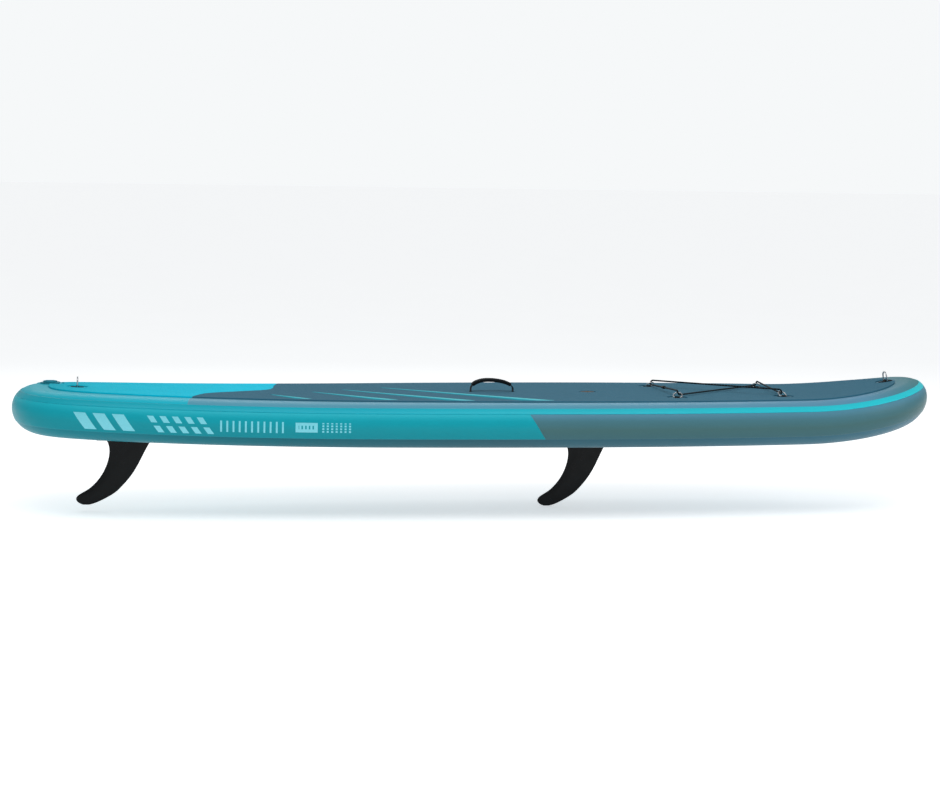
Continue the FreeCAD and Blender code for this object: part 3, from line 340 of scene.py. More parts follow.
def tube(name, points, radius, around=12):
    """A round section along a path; radius is a number or a function of distance and turn."""
    normals, sides = path_frames(points)
    distance, turn = np.meshgrid(travelled(points), full_turn(around))
    reach = radius(distance, turn) if callable(radius) else np.full_like(turn, radius)
    offset = (np.cos(turn) * reach)[..., None] * normals + (np.sin(turn) * reach)[..., None] * sides
    grid = np.asarray(points)[None] + offset
    return clean(make_object(name, grid, sleeve_faces(*grid.shape[:2]), along=distance), sharp=60)


def strap(name, points, width, thickness, rib_pitch=2.5 * MM, rib_height=0.10 * MM):
    """Flat webbing along a path in an upright plane, ribbed along its length, with round edges."""
    points = np.asarray(points, float)
    normals = np.cross(tangents_of(points), ACROSS)
    half, deep = width / 2, thickness / 2
    spots = np.linspace(-half + deep, half - deep, int(width / rib_pitch) * 5)
    waves = np.cos(2 * math.pi * spots / rib_pitch)
    top = list(zip(spots, deep - rib_height + rib_height * waves))
    bends = np.radians([60, 30, 0, -30, -60])
    edge = [(half - deep + deep * math.cos(bend), deep * math.sin(bend)) for bend in bends]
    loop = np.array(top + edge)
    loop = np.vstack([loop, -loop])
    grid = points[None] + loop[:, 0, None, None] * ACROSS + loop[:, 1, None, None] * normals[None]
    rows, columns = grid.shape[:2]
    along = np.broadcast_to(travelled(points), (rows, columns))
    return clean(make_object(name, grid, sleeve_faces(rows, columns), along=along), sharp=50)


def join(name, parts):
    """Joins meshes into the first one."""
    mesh = bmesh.new()
    for part in parts:
        mesh.from_mesh(part.data)
    mesh.to_mesh(parts[0].data)
    mesh.free()
    for part in parts[1:]:
        bpy.data.objects.remove(part)
    parts[0].name = name
    parts[0].data.name = name
    return parts[0]


def combine(obj, cutter, operation):
    """Boolean of two closed meshes, applied."""
    modifier = obj.modifiers.new("cut", "BOOLEAN")
    modifier.object = cutter
    modifier.operation = operation
    modifier.solver = "MANIFOLD"
    graph = bpy.context.evaluated_depsgraph_get()
    result = bpy.data.meshes.new_from_object(obj.evaluated_get(graph))
    obj.modifiers.clear()
    obj.data = result
    return obj


def discard(*objects):
    for obj in objects:
        bpy.data.objects.remove(obj)


def stitches(name, runs, pitch=3.2 * MM, radius=0.42 * MM, around=6):
    """Rows of short thread stitches; a run is (start, end)."""
    points, faces = [], []
    # share of the stitch's length, thickness and rise, from one end of the stitch to the other
    profile = [(-0.5, 0.25, -0.6), (-0.35, 0.8, 0.1), (0.0, 1.0, 0.5), (0.35, 0.8, 0.1),
               (0.5, 0.25, -0.6)]
    up = Vector(UP)
    for start, end in runs:
        start, end = Vector(start), Vector(end)
        ahead = (end - start).normalized()
        side = ahead.cross(up)
        for number in range(max(1, int((end - start).length / pitch))):
            centre = start + ahead * ((number + 0.5) * pitch)
            faces += stack_faces(len(profile), around, start=len(points))
            for share, thick, rise in profile:
                ring = centre + ahead * (share * pitch * 0.8) + up * (rise * radius)
                for turn in full_turn(around):
                    offset = side * math.cos(turn) + up * math.sin(turn)
                    points.append(ring + offset * (radius * thick))
    return clean(make_object(name, points, faces), distance=1e-7, sharp=70)


# ---------------------------------------------------------------- material helpers

def paint(code):
    """Linear colour from a display colour such as #1ed3ec."""
    channels = [int(code[start:start + 2], 16) / 255 for start in (1, 3, 5)]
    return tuple(c / 12.92 if c <= 0.04045 else ((c + 0.055) / 1.055) ** 2.4 for c in channels) + (1.0,)


class Term:
    """A number in a node tree, so that masks can be written as plain arithmetic."""

    def __init__(self, look, socket):
        self.look = look
        self.socket = socket

    def math(self, operation, other=None):
        node = self.look.new("ShaderNodeMath")
        node.operation = operation
        self.look.feed(node.inputs[0], self)
        if other is not None:
            self.look.feed(node.inputs[1], other)
        return Term(self.look, node.outputs[0])

    def __add__(self, other):
        return self.math("ADD", other)

    def __sub__(self, other):
        return self.math("SUBTRACT", other)

    def __mul__(self, other):
        return self.math("MULTIPLY", other)

    def __truediv__(self, other):
        return self.math("DIVIDE", other)

    def __mod__(self, other):
        return self.math("FLOORED_MODULO", other)

    def __gt__(self, other):
        return self.math("GREATER_THAN", other)

    def __lt__(self, other):
        return self.math("LESS_THAN", other)

    def within(self, low, high):
        return (self > low) * (self < high)


class Look:
    """A procedural material: a principled surface and short calls for the nodes that feed it."""

    def __init__(self, name, roughness=0.5, metallic=0.0, specular=0.14, coat=0.0, sheen=0.0):
        self.material = bpy.data.materials.new(name)
        self.material.use_nodes = True
        self.tree = self.material.node_tree
        self.tree.nodes.clear()
        self.surface = self.new("ShaderNodeBsdfPrincipled")
        output = self.new("ShaderNodeOutputMaterial")
        self.tree.links.new(self.surface.outputs[0], output.inputs["Surface"])
        for key, number in (("Roughness", roughness), ("Metallic", metallic), ("Coat Weight", coat),
                            ("Specular IOR Level", specular), ("Sheen Weight", sheen)):
            self.surface.inputs[key].default_value = number
        self.surface.inputs["Coat Roughness"].default_value = 0.25
        self.place = Term(self, self.new("ShaderNodeTexCoord").outputs["Object"])

    def new(self, kind):
        return self.tree.nodes.new(kind)

    def feed(self, socket, value):
        if isinstance(value, Term):
            self.tree.links.new(value.socket, socket)
        else:
            socket.default_value = value

    def attribute(self, name):
        node = self.new("ShaderNodeAttribute")
        node.attribute_name = name
        return Term(self, node.outputs["Fac"])

    def axis(self, letter):
        node = self.new("ShaderNodeSeparateXYZ")
        self.feed(node.inputs[0], self.place)
        return Term(self, node.outputs[letter])

    def noise(self, scale, detail=3.0, stretch=(1, 1, 1), rough=0.5):
        mapping = self.new("ShaderNodeMapping")
        self.feed(mapping.inputs["Vector"], self.place)
        mapping.inputs["Scale"].default_value = stretch
        node = self.new("ShaderNodeTexNoise")
        self.tree.links.new(mapping.outputs[0], node.inputs["Vector"])
        node.inputs["Scale"].default_value = scale
        node.inputs["Detail"].default_value = detail
        node.inputs["Roughness"].default_value = rough
        return Term(self, node.outputs["Fac"])

    def ramp(self, factor, stops):
        """Colour from stops of (position, display colour)."""
        node = self.new("ShaderNodeValToRGB")
        elements = node.color_ramp.elements
        while len(elements) < len(stops):
            elements.new(0.5)
        for element, (spot, code) in zip(elements, stops):
            element.position = spot
            element.color = paint(code)
        self.feed(node.inputs[0], factor)
        return Term(self, node.outputs["Color"])

    def mix(self, factor, first, second):
        node = self.new("ShaderNodeMix")
        node.data_type = "RGBA"
        node.clamp_factor = True
        self.feed(node.inputs["Factor"], factor)
        self.feed(node.inputs[6], paint(first) if isinstance(first, str) else first)
        self.feed(node.inputs[7], paint(second) if isinstance(second, str) else second)
        return Term(self, node.outputs[2])

    def shade(self, colour, cloud, amount):
        """Colour made a little lighter and darker by a cloud value around one half."""
        node = self.new("ShaderNodeHueSaturation")
        self.feed(node.inputs["Color"], colour)
        self.feed(node.inputs["Value"], (cloud - 0.5) * amount + 1.0)
        return Term(self, node.outputs["Color"])

    def bump(self, height, distance, strength=1.0):
        node = self.new("ShaderNodeBump")
        node.inputs["Strength"].default_value = strength
        node.inputs["Distance"].default_value = distance
        self.feed(node.inputs["Height"], height)
        existing = self.surface.inputs["Normal"]
        if existing.is_linked:
            self.tree.links.new(existing.links[0].from_socket, node.inputs["Normal"])
        self.tree.links.new(node.outputs[0], existing)
        return self

    def colour(self, value):
        self.feed(self.surface.inputs["Base Color"], paint(value) if isinstance(value, str) else value)
        return self

    def rough(self, value):
        self.feed(self.surface.inputs["Roughness"], value)
        return self


def woven(look, pitch):
    """Height of a plain weave seen on object coordinates."""
    waves = [(look.axis(letter) * (2 * math.pi / pitch)).math("SINE") for letter in "XYZ"]
    return waves[0] * waves[1] + waves[2] * 0.5


def finish_pvc(look, colour, roughness=0.36):
    """Coated drop-stitch cloth: cloudy colour, fine cloth grain and a soft scuffed gloss."""
    cloud = look.noise(3.0, 5.0)
    grain = look.noise(650.0, 2.0)
    look.colour(look.shade(look.shade(colour, cloud, 0.10), grain, 0.06))
    look.rough(look.noise(14.0, 4.0) * 0.16 + (roughness - 0.08))
    look.bump(look.noise(5.0, 3.0), 2.5 * MM, 0.35)
    look.bump(woven(look, 1.6 * MM), 0.05 * MM, 0.5)
    return look.material


def pvc(name, code, roughness=0.36):
    return finish_pvc(Look(name, coat=0.02), paint(code), roughness)


def rail_print_and_shade_ramp(look, top, upper, lower, bottom):
    """Colour that changes down the rail, from the stripe's edge to the lower seam: partly the cloth's
    own printed fade and partly painted shade, lighter at the top and darker towards the bottom as if
    lit from above.
    """
    share = (look.attribute("angle") * -1.0 + STRIPE_EDGE) / (STRIPE_EDGE - BOTTOM_SEAM)
    return look.ramp(share, [(0.0, top), (0.28, upper), (0.62, lower), (1.0, bottom)])


def rail_marks(look):
    """Plain printed marks on the rear rail: slanted bars, fine dashes, a pill and small ticks."""
    angle = look.attribute("angle")
    upright = look.attribute("station")
    slanted = upright + angle * (0.9 * MM)

    def bars(place, first, last, pitch, share, low, high):
        printed = (place - first) % pitch < pitch * share
        return place.within(first, last) * printed * angle.within(low, high)

    cut = angle.within(-7, 1) * slanted.within(*EVEN_BARS[:2])
    even = bars(slanted, *EVEN_BARS) * (cut * -1.0 + 1.0)
    from_middle = (upright - PILL_MIDDLE).math("ABSOLUTE")
    pill = (from_middle < PILL_HALF) * angle.within(-14, 10)
    slots = (from_middle < PILL_SLOTS_HALF) * ((upright % 0.012) < 0.005) * angle.within(-6, 3)
    ticks = bars(upright, *TICKS) * ((angle % 7.0) < 4.4)
    marks = bars(slanted, *WIDE_BARS) + even + bars(upright, *FINE_BARS) + pill - slots + ticks
    return marks.math("MINIMUM", 1.0).math("MAXIMUM", 0.0)


def rear_rail_look():
    look = Look("rear_rail_pvc", coat=0.02)
    # the rear rail's teal: partly its own printed fade, partly painted shade, lighter at the top and
    # darker towards the bottom
    base = rail_print_and_shade_ramp(look, "#1fb8c9", "#0fa0b0", "#08919e", "#068895")
    wear = look.noise(260.0, 3.0) * 0.25 + 0.72
    colour = look.mix(rail_marks(look) * wear, base, "#86dcea")
    return finish_pvc(look, colour)


def front_rail_look():
    look = Look("front_rail_pvc", coat=0.02)
    # the front rail's grey slate: partly its own printed fade, partly painted shade, lighter at the top
    # and darker towards the bottom
    return finish_pvc(look, rail_print_and_shade_ramp(look, "#538ea6", "#487884", "#41696c", "#3c666e"))


def stripe_look():
    look = Look("stripe_pvc", coat=0.03)
    stops = [(0.0, "#18a9bb"), (0.35, "#18b2c6"), (0.6, "#27bccd"), (1.0, "#2ccfdc")]
    return finish_pvc(look, look.ramp(look.attribute("station") / LENGTH, stops), 0.32)


def wave_mask(look):
    """1 behind the pad's colour break, 0 in front of it."""
    curve = look.new("ShaderNodeFloatCurve")
    low_side, high_side = PAD_WAVE[0][1], PAD_WAVE[-1][1]
    line = curve.mapping.curves[0]
    while len(line.points) < len(PAD_WAVE):
        line.points.new(0.5, 0.5)
    for point, (station, side) in zip(line.points, PAD_WAVE):
        point.location = ((side - low_side) / (high_side - low_side), station)
    curve.mapping.update()
    look.feed(curve.inputs["Value"], (look.axis("Y") - low_side) / (high_side - low_side))
    return (look.axis("X") - TAIL_X) < Term(look, curve.outputs[0])


def deck_look():
    look = Look("deck_pvc", coat=0.02)
    station = look.axis("X") - TAIL_X
    stops = [(0.0, "#5aa4bb"), (0.55, "#5a9fb8"), (0.9, "#6096b4"), (1.0, "#3f7f80")]
    front = look.ramp(station / LENGTH, stops)
    tail = look.ramp(station / 0.9, [(0.0, "#15b6c9"), (1.0, "#16c3dc")])
    return finish_pvc(look, look.mix(wave_mask(look), front, tail), 0.4)


def bottom_look():
    look = Look("bottom_pvc", coat=0.02)
    stops = [(0.0, "#0f7f8c"), (0.28, "#10626f"), (0.5, "#2c5966"), (1.0, "#39697a")]
    return finish_pvc(look, look.ramp((look.axis("X") - TAIL_X) / LENGTH, stops), 0.4)


def foam_base(name):
    return Look(name, roughness=0.85, specular=0.06, sheen=0.04)


def foam(look, colour):
    """Closed-cell foam: fine cells, mottled colour and a chalky sheen."""
    mottle = look.noise(18.0, 4.0)
    cells = look.noise(1100.0, 2.0, rough=0.7)
    look.colour(look.shade(look.shade(colour, mottle, 0.16), cells, 0.22))
    look.rough(look.noise(60.0, 3.0) * 0.12 + 0.78)
    look.bump(cells, 0.25 * MM, 0.6)
    return look.material


def slash_look():
    look = foam_base("slash_foam")
    across = look.attribute("across")
    stops = [(0.0, "#0d8fa2"), (0.42, "#12a2b4"), (0.55, "#58cbd8"), (1.0, "#74dae2")]
    return foam(look, look.ramp(across, stops))


def tail_pad_look():
    look = foam_base("tail_foam")
    station = look.axis("X") - TAIL_X
    stops = [(0.0, "#10a9bd"), (0.35, "#18cbe4"), (1.0, "#1ad6f4")]
    return foam(look, look.ramp(station / 0.85, stops))


def webbing_look(name, code):
    """Nylon webbing: a chevron weave along the strap with fuzzy, dry highlights."""
    look = Look(name, roughness=0.72, specular=0.12, sheen=0.1)
    along = look.attribute("along")
    side = look.axis("Y").math("ABSOLUTE")
    weave = ((along + side * 0.8) * (2 * math.pi / (1.5 * MM))).math("SINE")
    colour = look.shade(paint(code), weave * 0.5 + 0.5, 0.5)
    look.colour(look.shade(colour, look.noise(900.0, 2.0), 0.4))
    look.bump(weave, 0.12 * MM, 0.8)
    return look.material


def neoprene_look():
    look = Look("neoprene", roughness=0.78, specular=0.1, sheen=0.08)
    look.colour(look.shade(paint("#0e1417"), look.noise(45.0, 4.0), 0.5))
    look.bump(look.noise(1400.0, 2.0), 0.12 * MM, 0.7)
    look.bump(look.noise(60.0, 3.0), 0.8 * MM, 0.3)
    return look.material


def cord_look():
    look = Look("cord_braid", roughness=0.65, specular=0.12, sheen=0.08)
    along = look.attribute("along")
    fleck = ((along % 0.011) < 0.0022) * 0.35
    look.colour(look.mix(fleck, "#0c1216", "#2d6f82"))
    look.bump(look.noise(1500.0, 2.0), 0.1 * MM, 0.6)
    return look.material


def moulded(name, code, roughness=0.42, grain=0.06 * MM):
    """Moulded plastic: fine spark-eroded grain, faint flow lines and handling polish."""
    look = Look(name, specular=0.16)
    flow = look.noise(9.0, 5.0, stretch=(1, 6, 3))
    look.colour(look.shade(paint(code), flow, 0.35))
    look.rough(look.noise(30.0, 4.0) * 0.2 + (roughness - 0.1))
    look.bump(look.noise(1300.0, 2.0), grain, 0.5)
    return look.material


def metal(name, code, roughness, stretch):
    """Drawn metal: fine lengthwise scratches and slightly uneven polish."""
    look = Look(name, metallic=1.0)
    scratch = look.noise(420.0, 3.0, stretch=stretch)
    look.colour(look.shade(paint(code), look.noise(40.0, 3.0), 0.15))
    look.rough(scratch * 0.22 + (roughness - 0.1))
    look.bump(scratch, 0.02 * MM, 0.5)
    return look.material


def seal_look():
    look = Look("seal_rubber", roughness=0.6, specular=0.15)
    look.colour(look.shade(paint("#121314"), look.noise(80.0, 3.0), 0.4))
    look.bump(look.noise(900.0, 2.0), 0.05 * MM, 0.5)
    return look.material


def yarn_look():
    look = Look("yarn", roughness=0.8, sheen=0.3)
    twist = ((look.axis("Z") * 2.0 + look.axis("X")) * 3000.0).math("SINE")
    look.colour(look.shade(paint("#d9d8cf"), twist * 0.5 + 0.5, 0.25))
    look.bump(twist, 0.2 * MM, 0.7)
    return look.material


def build_looks():
    return {
        "deck": deck_look(),
        "bottom": bottom_look(),
        "rear_rail": rear_rail_look(),
        "front_rail": front_rail_look(),
        "stripe": stripe_look(),
        "inner": pvc("inner_pvc", "#b9bfc2", 0.5),
        "patch_slate": pvc("patch_slate", "#4f8297", 0.42),
        "patch_cyan": pvc("patch_cyan", "#14b7cb", 0.42),
        "patch_bottom": pvc("patch_bottom", "#1b5462", 0.42),
        "box": moulded("box_plastic", "#14191c", 0.45),
        "pad": foam(foam_base("pad_foam"), paint("#41748a")),
        "tail_pad": tail_pad_look(),
        "slash": slash_look(),
        "webbing": webbing_look("black_webbing", "#101619"),
        "neoprene": neoprene_look(),
        "cord": cord_look(),
        "black": moulded("black_plastic", "#0d1012", 0.42),
        "valve": moulded("valve_plastic", "#1a8fa2", 0.45),
        "fin": moulded("fin_plastic", "#06090b", 0.3, 0.03 * MM),
        "grey": moulded("grey_plastic", "#596166", 0.45),
        "steel": metal("polished_steel", "#c9ccce", 0.22, (1, 8, 1)),
        "brass": metal("brass", "#c79a4a", 0.3, (8, 1, 1)),
        "seal": seal_look(),
        "thread": moulded("stitch_thread", "#1c2428", 0.7),
        "yarn": yarn_look(),
    }


LOOKS = build_looks()


def dress(obj, look):
    obj.data.materials.clear()
    obj.data.materials.append(LOOKS[look])
    return obj


def piece(obj, body, look, slot, *nodes):
    """Gives a finished piece its material and its body, and hides the nodes it stands for. The slot is
    not used.
    """
    dress(obj, look)
    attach(obj, body)
    if nodes:
        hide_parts(*nodes)
    return obj


def rail_strip(name, side, top, bottom, start, end, columns=560):
    """A closed strip of rail cloth with rounded edges, between two angles of the rail."""
    inner = CORE + LAYER_GAP
    outer = inner + BAND_THICKNESS
    edge = 0.45
    steps = int(abs(top - bottom) / 3) + 2
    face = np.linspace(top - edge, bottom + edge, steps)
    rounding = BAND_THICKNESS * 0.45
    profile = [(top, inner), (top, outer - rounding)] + [(angle, outer) for angle in face]
    profile += [(bottom, outer - rounding), (bottom, inner)]
    profile += [(angle, inner) for angle in np.linspace(bottom, top, steps // 2)[1:-1]]
    shares = (1 - np.cos(np.linspace(0, math.pi, columns))) / 2
    shares = 0.35 * shares + 0.65 * np.linspace(0, 1, columns)
    # phases are drawn for every row of the face, and the first set serves the whole strip, so
    # that its puckers line up from seam to seam
    phases = RANDOM.uniform(0, 2 * math.pi, (steps, len(RIPPLE_LENGTHS)))[0]
    rows, stations, angles = [], [], []
    for angle, radius in profile:
        first = sweep_at(start, angle)
        sweep = first + (sweep_at(end, angle) - first) * shares
        station = outline(sweep)[0]
        swell = ripples(phases, station, angle, (top, bottom)) if radius == outer else 0.0
        rows.append(rail(side, radius + swell, angle, sweep))
        stations.append(station)
        angles.append(np.full(columns, float(angle)))
    strip = make_object(name, np.array(rows), sleeve_faces(len(profile), columns),
                        station=np.array(stations), angle=np.array(angles))
    return clean(strip, distance=1e-6, sharp=50)


def ripples(phases, station, angle, edges):
    """Puckers of a strip beside its seams, with the same phases all the way down the strip."""
    waves = sum(np.sin(2 * math.pi * station / length + phase)
                for length, phase in zip(RIPPLE_LENGTHS, phases)) / len(RIPPLE_LENGTHS)
    near = sum(math.exp(-((angle - edge) / RIPPLE_FADE) ** 2) for edge in edges)
    tips = np.exp(-station / 0.12) + np.exp(-(LENGTH - station) / 0.16)
    return waves * near * (0.12 * MM + 0.30 * MM * tips)


def sweep_at(place, angle):
    """Sweep at which a rail strip starts or ends, at one angle of the rail."""
    if place == "tail":
        return TIP_SWEEP
    if place == "nose":
        return math.pi - TIP_SWEEP
    # the colour break slants forward down the rail
    share = (STRIPE_EDGE - angle) / (STRIPE_EDGE - BOTTOM_SEAM)
    station = BREAK_TOP + (BREAK_BOTTOM - BREAK_TOP) * share
    gap = BREAK_SWEEP if place == "after_break" else 0.0
    return math.acos(1 - 2 * station / LENGTH) + gap


def build_bands():
    # piece, top and bottom angle, where it starts and ends, look, slot and CAD node
    strips = (
        ("rail_stripe_tape_", TOP_SEAM, STRIPE_EDGE + ANGLE_GAP, "tail", "nose",
         "stripe", "pvc_cyan", "rail_stripe_"),
        ("rear_rail_cloth_", STRIPE_EDGE, BOTTOM_SEAM, "tail", "break",
         "rear_rail", "pvc_teal", "rear_rail_band_"),
        ("front_rail_cloth_", STRIPE_EDGE, BOTTOM_SEAM, "after_break", "nose",
         "front_rail", "pvc_grey", "front_rail_band_"),
    )
    for side, hand in ((-1, "right"), (1, "left")):
        for name, top, bottom, start, end, look, slot, node in strips:
            strip = rail_strip(name + hand, side, top, bottom, start, end)
            piece(strip, "hull", look, slot, node + hand)


def skin_rows(radius, up, sweeps):
    """Rows of a deck or bottom skin, from the left lip across the flat to the right lip."""
    angles = np.linspace(WALL_ANGLE, 90, 17)
    across = np.linspace(1, -1, 33)[1:-1]
    edge = rail(1, radius, 90 * up, sweeps)
    rows = [rail(1, radius, up * angle, sweeps) for angle in angles]
    rows += [edge * np.array([1, share, 1]) for share in across]
    rows += [rail(-1, radius, up * angle, sweeps) for angle in reversed(angles)]
    return rows


def skin(name, up):
    columns = 420
    sweeps = np.linspace(0, math.pi, columns)
    rows = skin_rows(CORE, up, sweeps) + skin_rows(CORE - SKIN_THICKNESS, up, sweeps)[::-1]
    shell = make_object(name, np.array(rows), grid_faces(len(rows), columns, loop_rows=True))
    return clean(shell, distance=2e-6, sharp=50)


def disc_cutter(x, y, radius, low, high, flare=0.0):
    """A round column, optionally flared out above the pad's chamfer."""
    turns = full_turn(64)
    ring = np.stack([x + radius * np.cos(turns), y + radius * np.sin(turns)], -1)
    return prism(ring, low, high, flare)


def build_skins():
    deck = skin("deck_cloth", 1)
    for x, y, radius in ((0, 0, MAST_HOLE), (VALVE.x, VALVE.y, VALVE_HOLE)):
        cutter = disc_cutter(x, y, radius, -CORE, 2 * CORE)
        combine(deck, cutter, "DIFFERENCE")
        discard(cutter)
    clean(deck, distance=2e-6, sharp=50)
    piece(deck, "hull", "deck", "pvc_slate", "deck_skin")
    piece(skin("bottom_cloth", -1), "hull", "bottom", "pvc_bottom", "bottom_skin")


# ---------------------------------------------------------------- deck pad

def offset_polygon(points, distance):
    """Moves a closed outline out along its normals (counter-clockwise outlines grow)."""
    points = np.asarray(points, float)
    before, after = np.roll(points, 1, 0), np.roll(points, -1, 0)
    first, second = points - before, after - points
    first /= np.linalg.norm(first, axis=1)[:, None]
    second /= np.linalg.norm(second, axis=1)[:, None]
    normal = np.stack([first[:, 1] + second[:, 1], -first[:, 0] - second[:, 0]], -1)
    normal /= np.linalg.norm(normal, axis=1)[:, None]
    miter = normal[:, 0] * first[:, 1] - normal[:, 1] * first[:, 0]
    return points + normal * (distance / np.clip(miter, 0.35, 1))[:, None]


def counter_clockwise(points):
    points = np.asarray(points, float)
    x, y = points.T
    area = np.sum(x * np.roll(y, -1) - np.roll(x, -1) * y)
    return points if area > 0 else points[::-1]


def prism(plan, low, high, slope=0.0):
    """A column over a plan outline; above the pad's chamfer height it leans out by slope."""
    points = counter_clockwise(plan)
    shoulder = PAD_TOP - PAD_CHAMFER
    levels = [(low, 0.0), (high, 0.0)]
    if slope:
        levels = [(low, 0.0), (shoulder, 0.0), (high, slope * (high - shoulder))]
    rings = []
    for height, grown in levels:
        ring = offset_polygon(points, grown) if grown else points
        rings.append(np.column_stack([ring, np.full(len(ring), height)]))
    faces = stack_faces(len(rings), len(points))
    return face_outwards(make_object("column", np.array(rings), faces))


def cut(obj, plan, slope, operation):
    """Cuts a flat pad by a column over a plan outline."""
    column = prism(plan, CUT_LOW, CUT_HIGH, slope)
    combine(obj, column, operation)
    discard(column)


def rectangle(near, far, half):
    return [(near, -half), (far, -half), (far, half), (near, half)]


def pad_inset(station):
    """The pad's distance in from the outline grows towards both ends."""
    tail = np.clip((1.700 - station) / 1.700, 0, None) ** 1.5
    nose = np.clip((station - 2.700) / (LENGTH - 2.700), 0, None) ** 2
    return 0.080 + 0.040 * tail + 0.035 * nose


def pad_outline():
    sweep = np.linspace(0, math.pi, 161)
    station, across, _, _ = outline(sweep, pad_inset(LENGTH / 2 * (1 - np.cos(sweep))))
    across[[0, -1]] = 0
    right = np.stack([station + TAIL_X, -across], -1)
    left = np.stack([station + TAIL_X, across], -1)[::-1]
    return np.vstack([right, left[1:-1]])


def wave_outline(shift):
    """Outline of everything behind the pad's colour break."""
    line = np.array([(station + shift + TAIL_X, side, 0.0) for station, side in PAD_WAVE])
    curve = resample(line, 0.012)[:, :2]
    behind = TAIL_X - 0.2
    return np.vstack([curve, [(behind, PAD_WAVE[-1][1]), (behind, PAD_WAVE[0][1])]])


def slash_outline(name):
    tip_station, tip_side, end_station, end_side, width = PAD_SLASHES[name]
    tip, end = SLASH_TIP / 2, width / 2
    corners = [(tip_station - tip, tip_side), (end_station - end, end_side),
               (end_station + end, end_side), (tip_station + tip, tip_side)]
    return np.array([(station + TAIL_X, side) for station, side in corners])


def grooved_slab():
    """A flat slab of foam covering the whole pad, cut with a diamond lattice of grooves."""
    slope = math.atan2(DIAMOND_WIDE, DIAMOND_LONG)
    pitch = DIAMOND_LONG * math.sin(slope)
    half = GROOVE_HALF / 2 * 1.2
    reach_x, reach_y = 1.75, 0.42
    count = int((reach_x / math.cos(slope) + reach_y / math.sin(slope)) / 2 / pitch) + 2
    lines = np.arange(-count, count + 1) * pitch
    marks = np.stack([lines - half, lines, lines + half], -1).ravel()
    deep = np.tile([False, True, False], 2 * count + 1)
    middle = TAIL_X + LENGTH / 2
    u, v = np.meshgrid(marks, marks, indexing="ij")
    spacing = 1 / math.sin(2 * slope)
    x = middle + (u + v) * spacing * math.cos(slope)
    y = (u - v) * spacing * math.sin(slope)
    sunk = deep[:, None] | deep[None, :]
    z = np.where(sunk, PAD_TOP - GROOVE_DEPTH, PAD_TOP)
    station = x - TAIL_X
    keep = (station > 0.06) & (station < LENGTH - 0.05) & (np.abs(y) < reach_y - 0.02)
    cells = keep[:-1, :-1] & keep[1:, 1:] & keep[1:, :-1] & keep[:-1, 1:]
    size = len(marks)
    rows, columns = np.nonzero(cells)
    corner = rows * size + columns
    quads = np.stack([corner, corner + size, corner + size + 1, corner + 1], -1)
    used, index = np.unique(quads, return_inverse=True)
    quads = index.reshape(-1, 4)
    top = np.stack([x.ravel()[used], y.ravel()[used], z.ravel()[used]], -1)
    under = top.copy()
    under[:, 2] = PAD_LOW
    shift = len(used)
    faces = quads[:, ::-1].tolist() + (quads + shift).tolist()
    edges = np.concatenate([quads[:, [k, (k + 1) % 4]] for k in range(4)])
    back = {(b, a) for a, b in edges.tolist()}
    rim = [(a, b) for a, b in edges.tolist() if (a, b) not in back]
    faces += [(a, b, b + shift, a + shift) for a, b in rim]
    return face_outwards(make_object("slab", np.vstack([top, under]), faces))


def copy_of(obj, name):
    twin = bpy.data.objects.new(name, obj.data.copy())
    SCENE.collection.objects.link(twin)
    return twin


def pad_openings():
    """Columns that clear the fittings which stand on the deck."""
    rings = ["bungee_ring_" + corner for corner in BUNGEE_CORNERS] + ["nose_ring", "tail_ring"]
    pivots = [pivot_of(ring + "_swing") for ring in rings]
    spots = [(0, 0, MAST_OPENING)] + [(pivot.x, pivot.y, RING_OPENING) for pivot in pivots]
    spots.append((VALVE.x, VALVE.y, VALVE_OPENING))
    cutters = [disc_cutter(x, y, radius, CUT_LOW, CUT_HIGH, CHAMFER_SLOPE) for x, y, radius in spots]
    for _, x, way in HANDLE_ENDS:
        slot = rectangle(x - way * STRAP_SLOT_INNER, x + way * STRAP_SLOT_OUTER, STRAP_SLOT_HALF)
        cutters.append(prism(slot, CUT_LOW, CUT_HIGH, CHAMFER_SLOPE))
    return cutters


def pad_recesses():
    """Hollows in the underside over the patches and the feet of the handle."""
    patch_top = 2 * LAYER_GAP + PATCH_THICKNESS
    foot_top = patch_top + LAYER_GAP + FOOT_RECESS_HEIGHT
    cutters = [disc_cutter(0, 0, MAST_RECESS, CUT_LOW, patch_top)]
    for _, x, way in HANDLE_ENDS:
        cutters.append(disc_cutter(x + way * HANDLE_PATCH_SHIFT, 0, HANDLE_RECESS, CUT_LOW, patch_top))
        recess = rectangle(x, x + way * FOOT_RECESS_LENGTH, FOOT_RECESS_HALF)
        cutters.append(prism(recess, CUT_LOW, foot_top))
    return cutters


def finish_pad(obj):
    """Bends a flat pad onto the deck's rocker."""
    count = len(obj.data.vertices)
    points = np.zeros(count * 3, np.float32)
    obj.data.vertices.foreach_get("co", points)
    points = points.reshape(-1, 3)
    points[:, 2] += deck_height(points[:, 0])
    obj.data.vertices.foreach_set("co", points.ravel())
    return clean(obj, distance=5e-6, sharp=28)


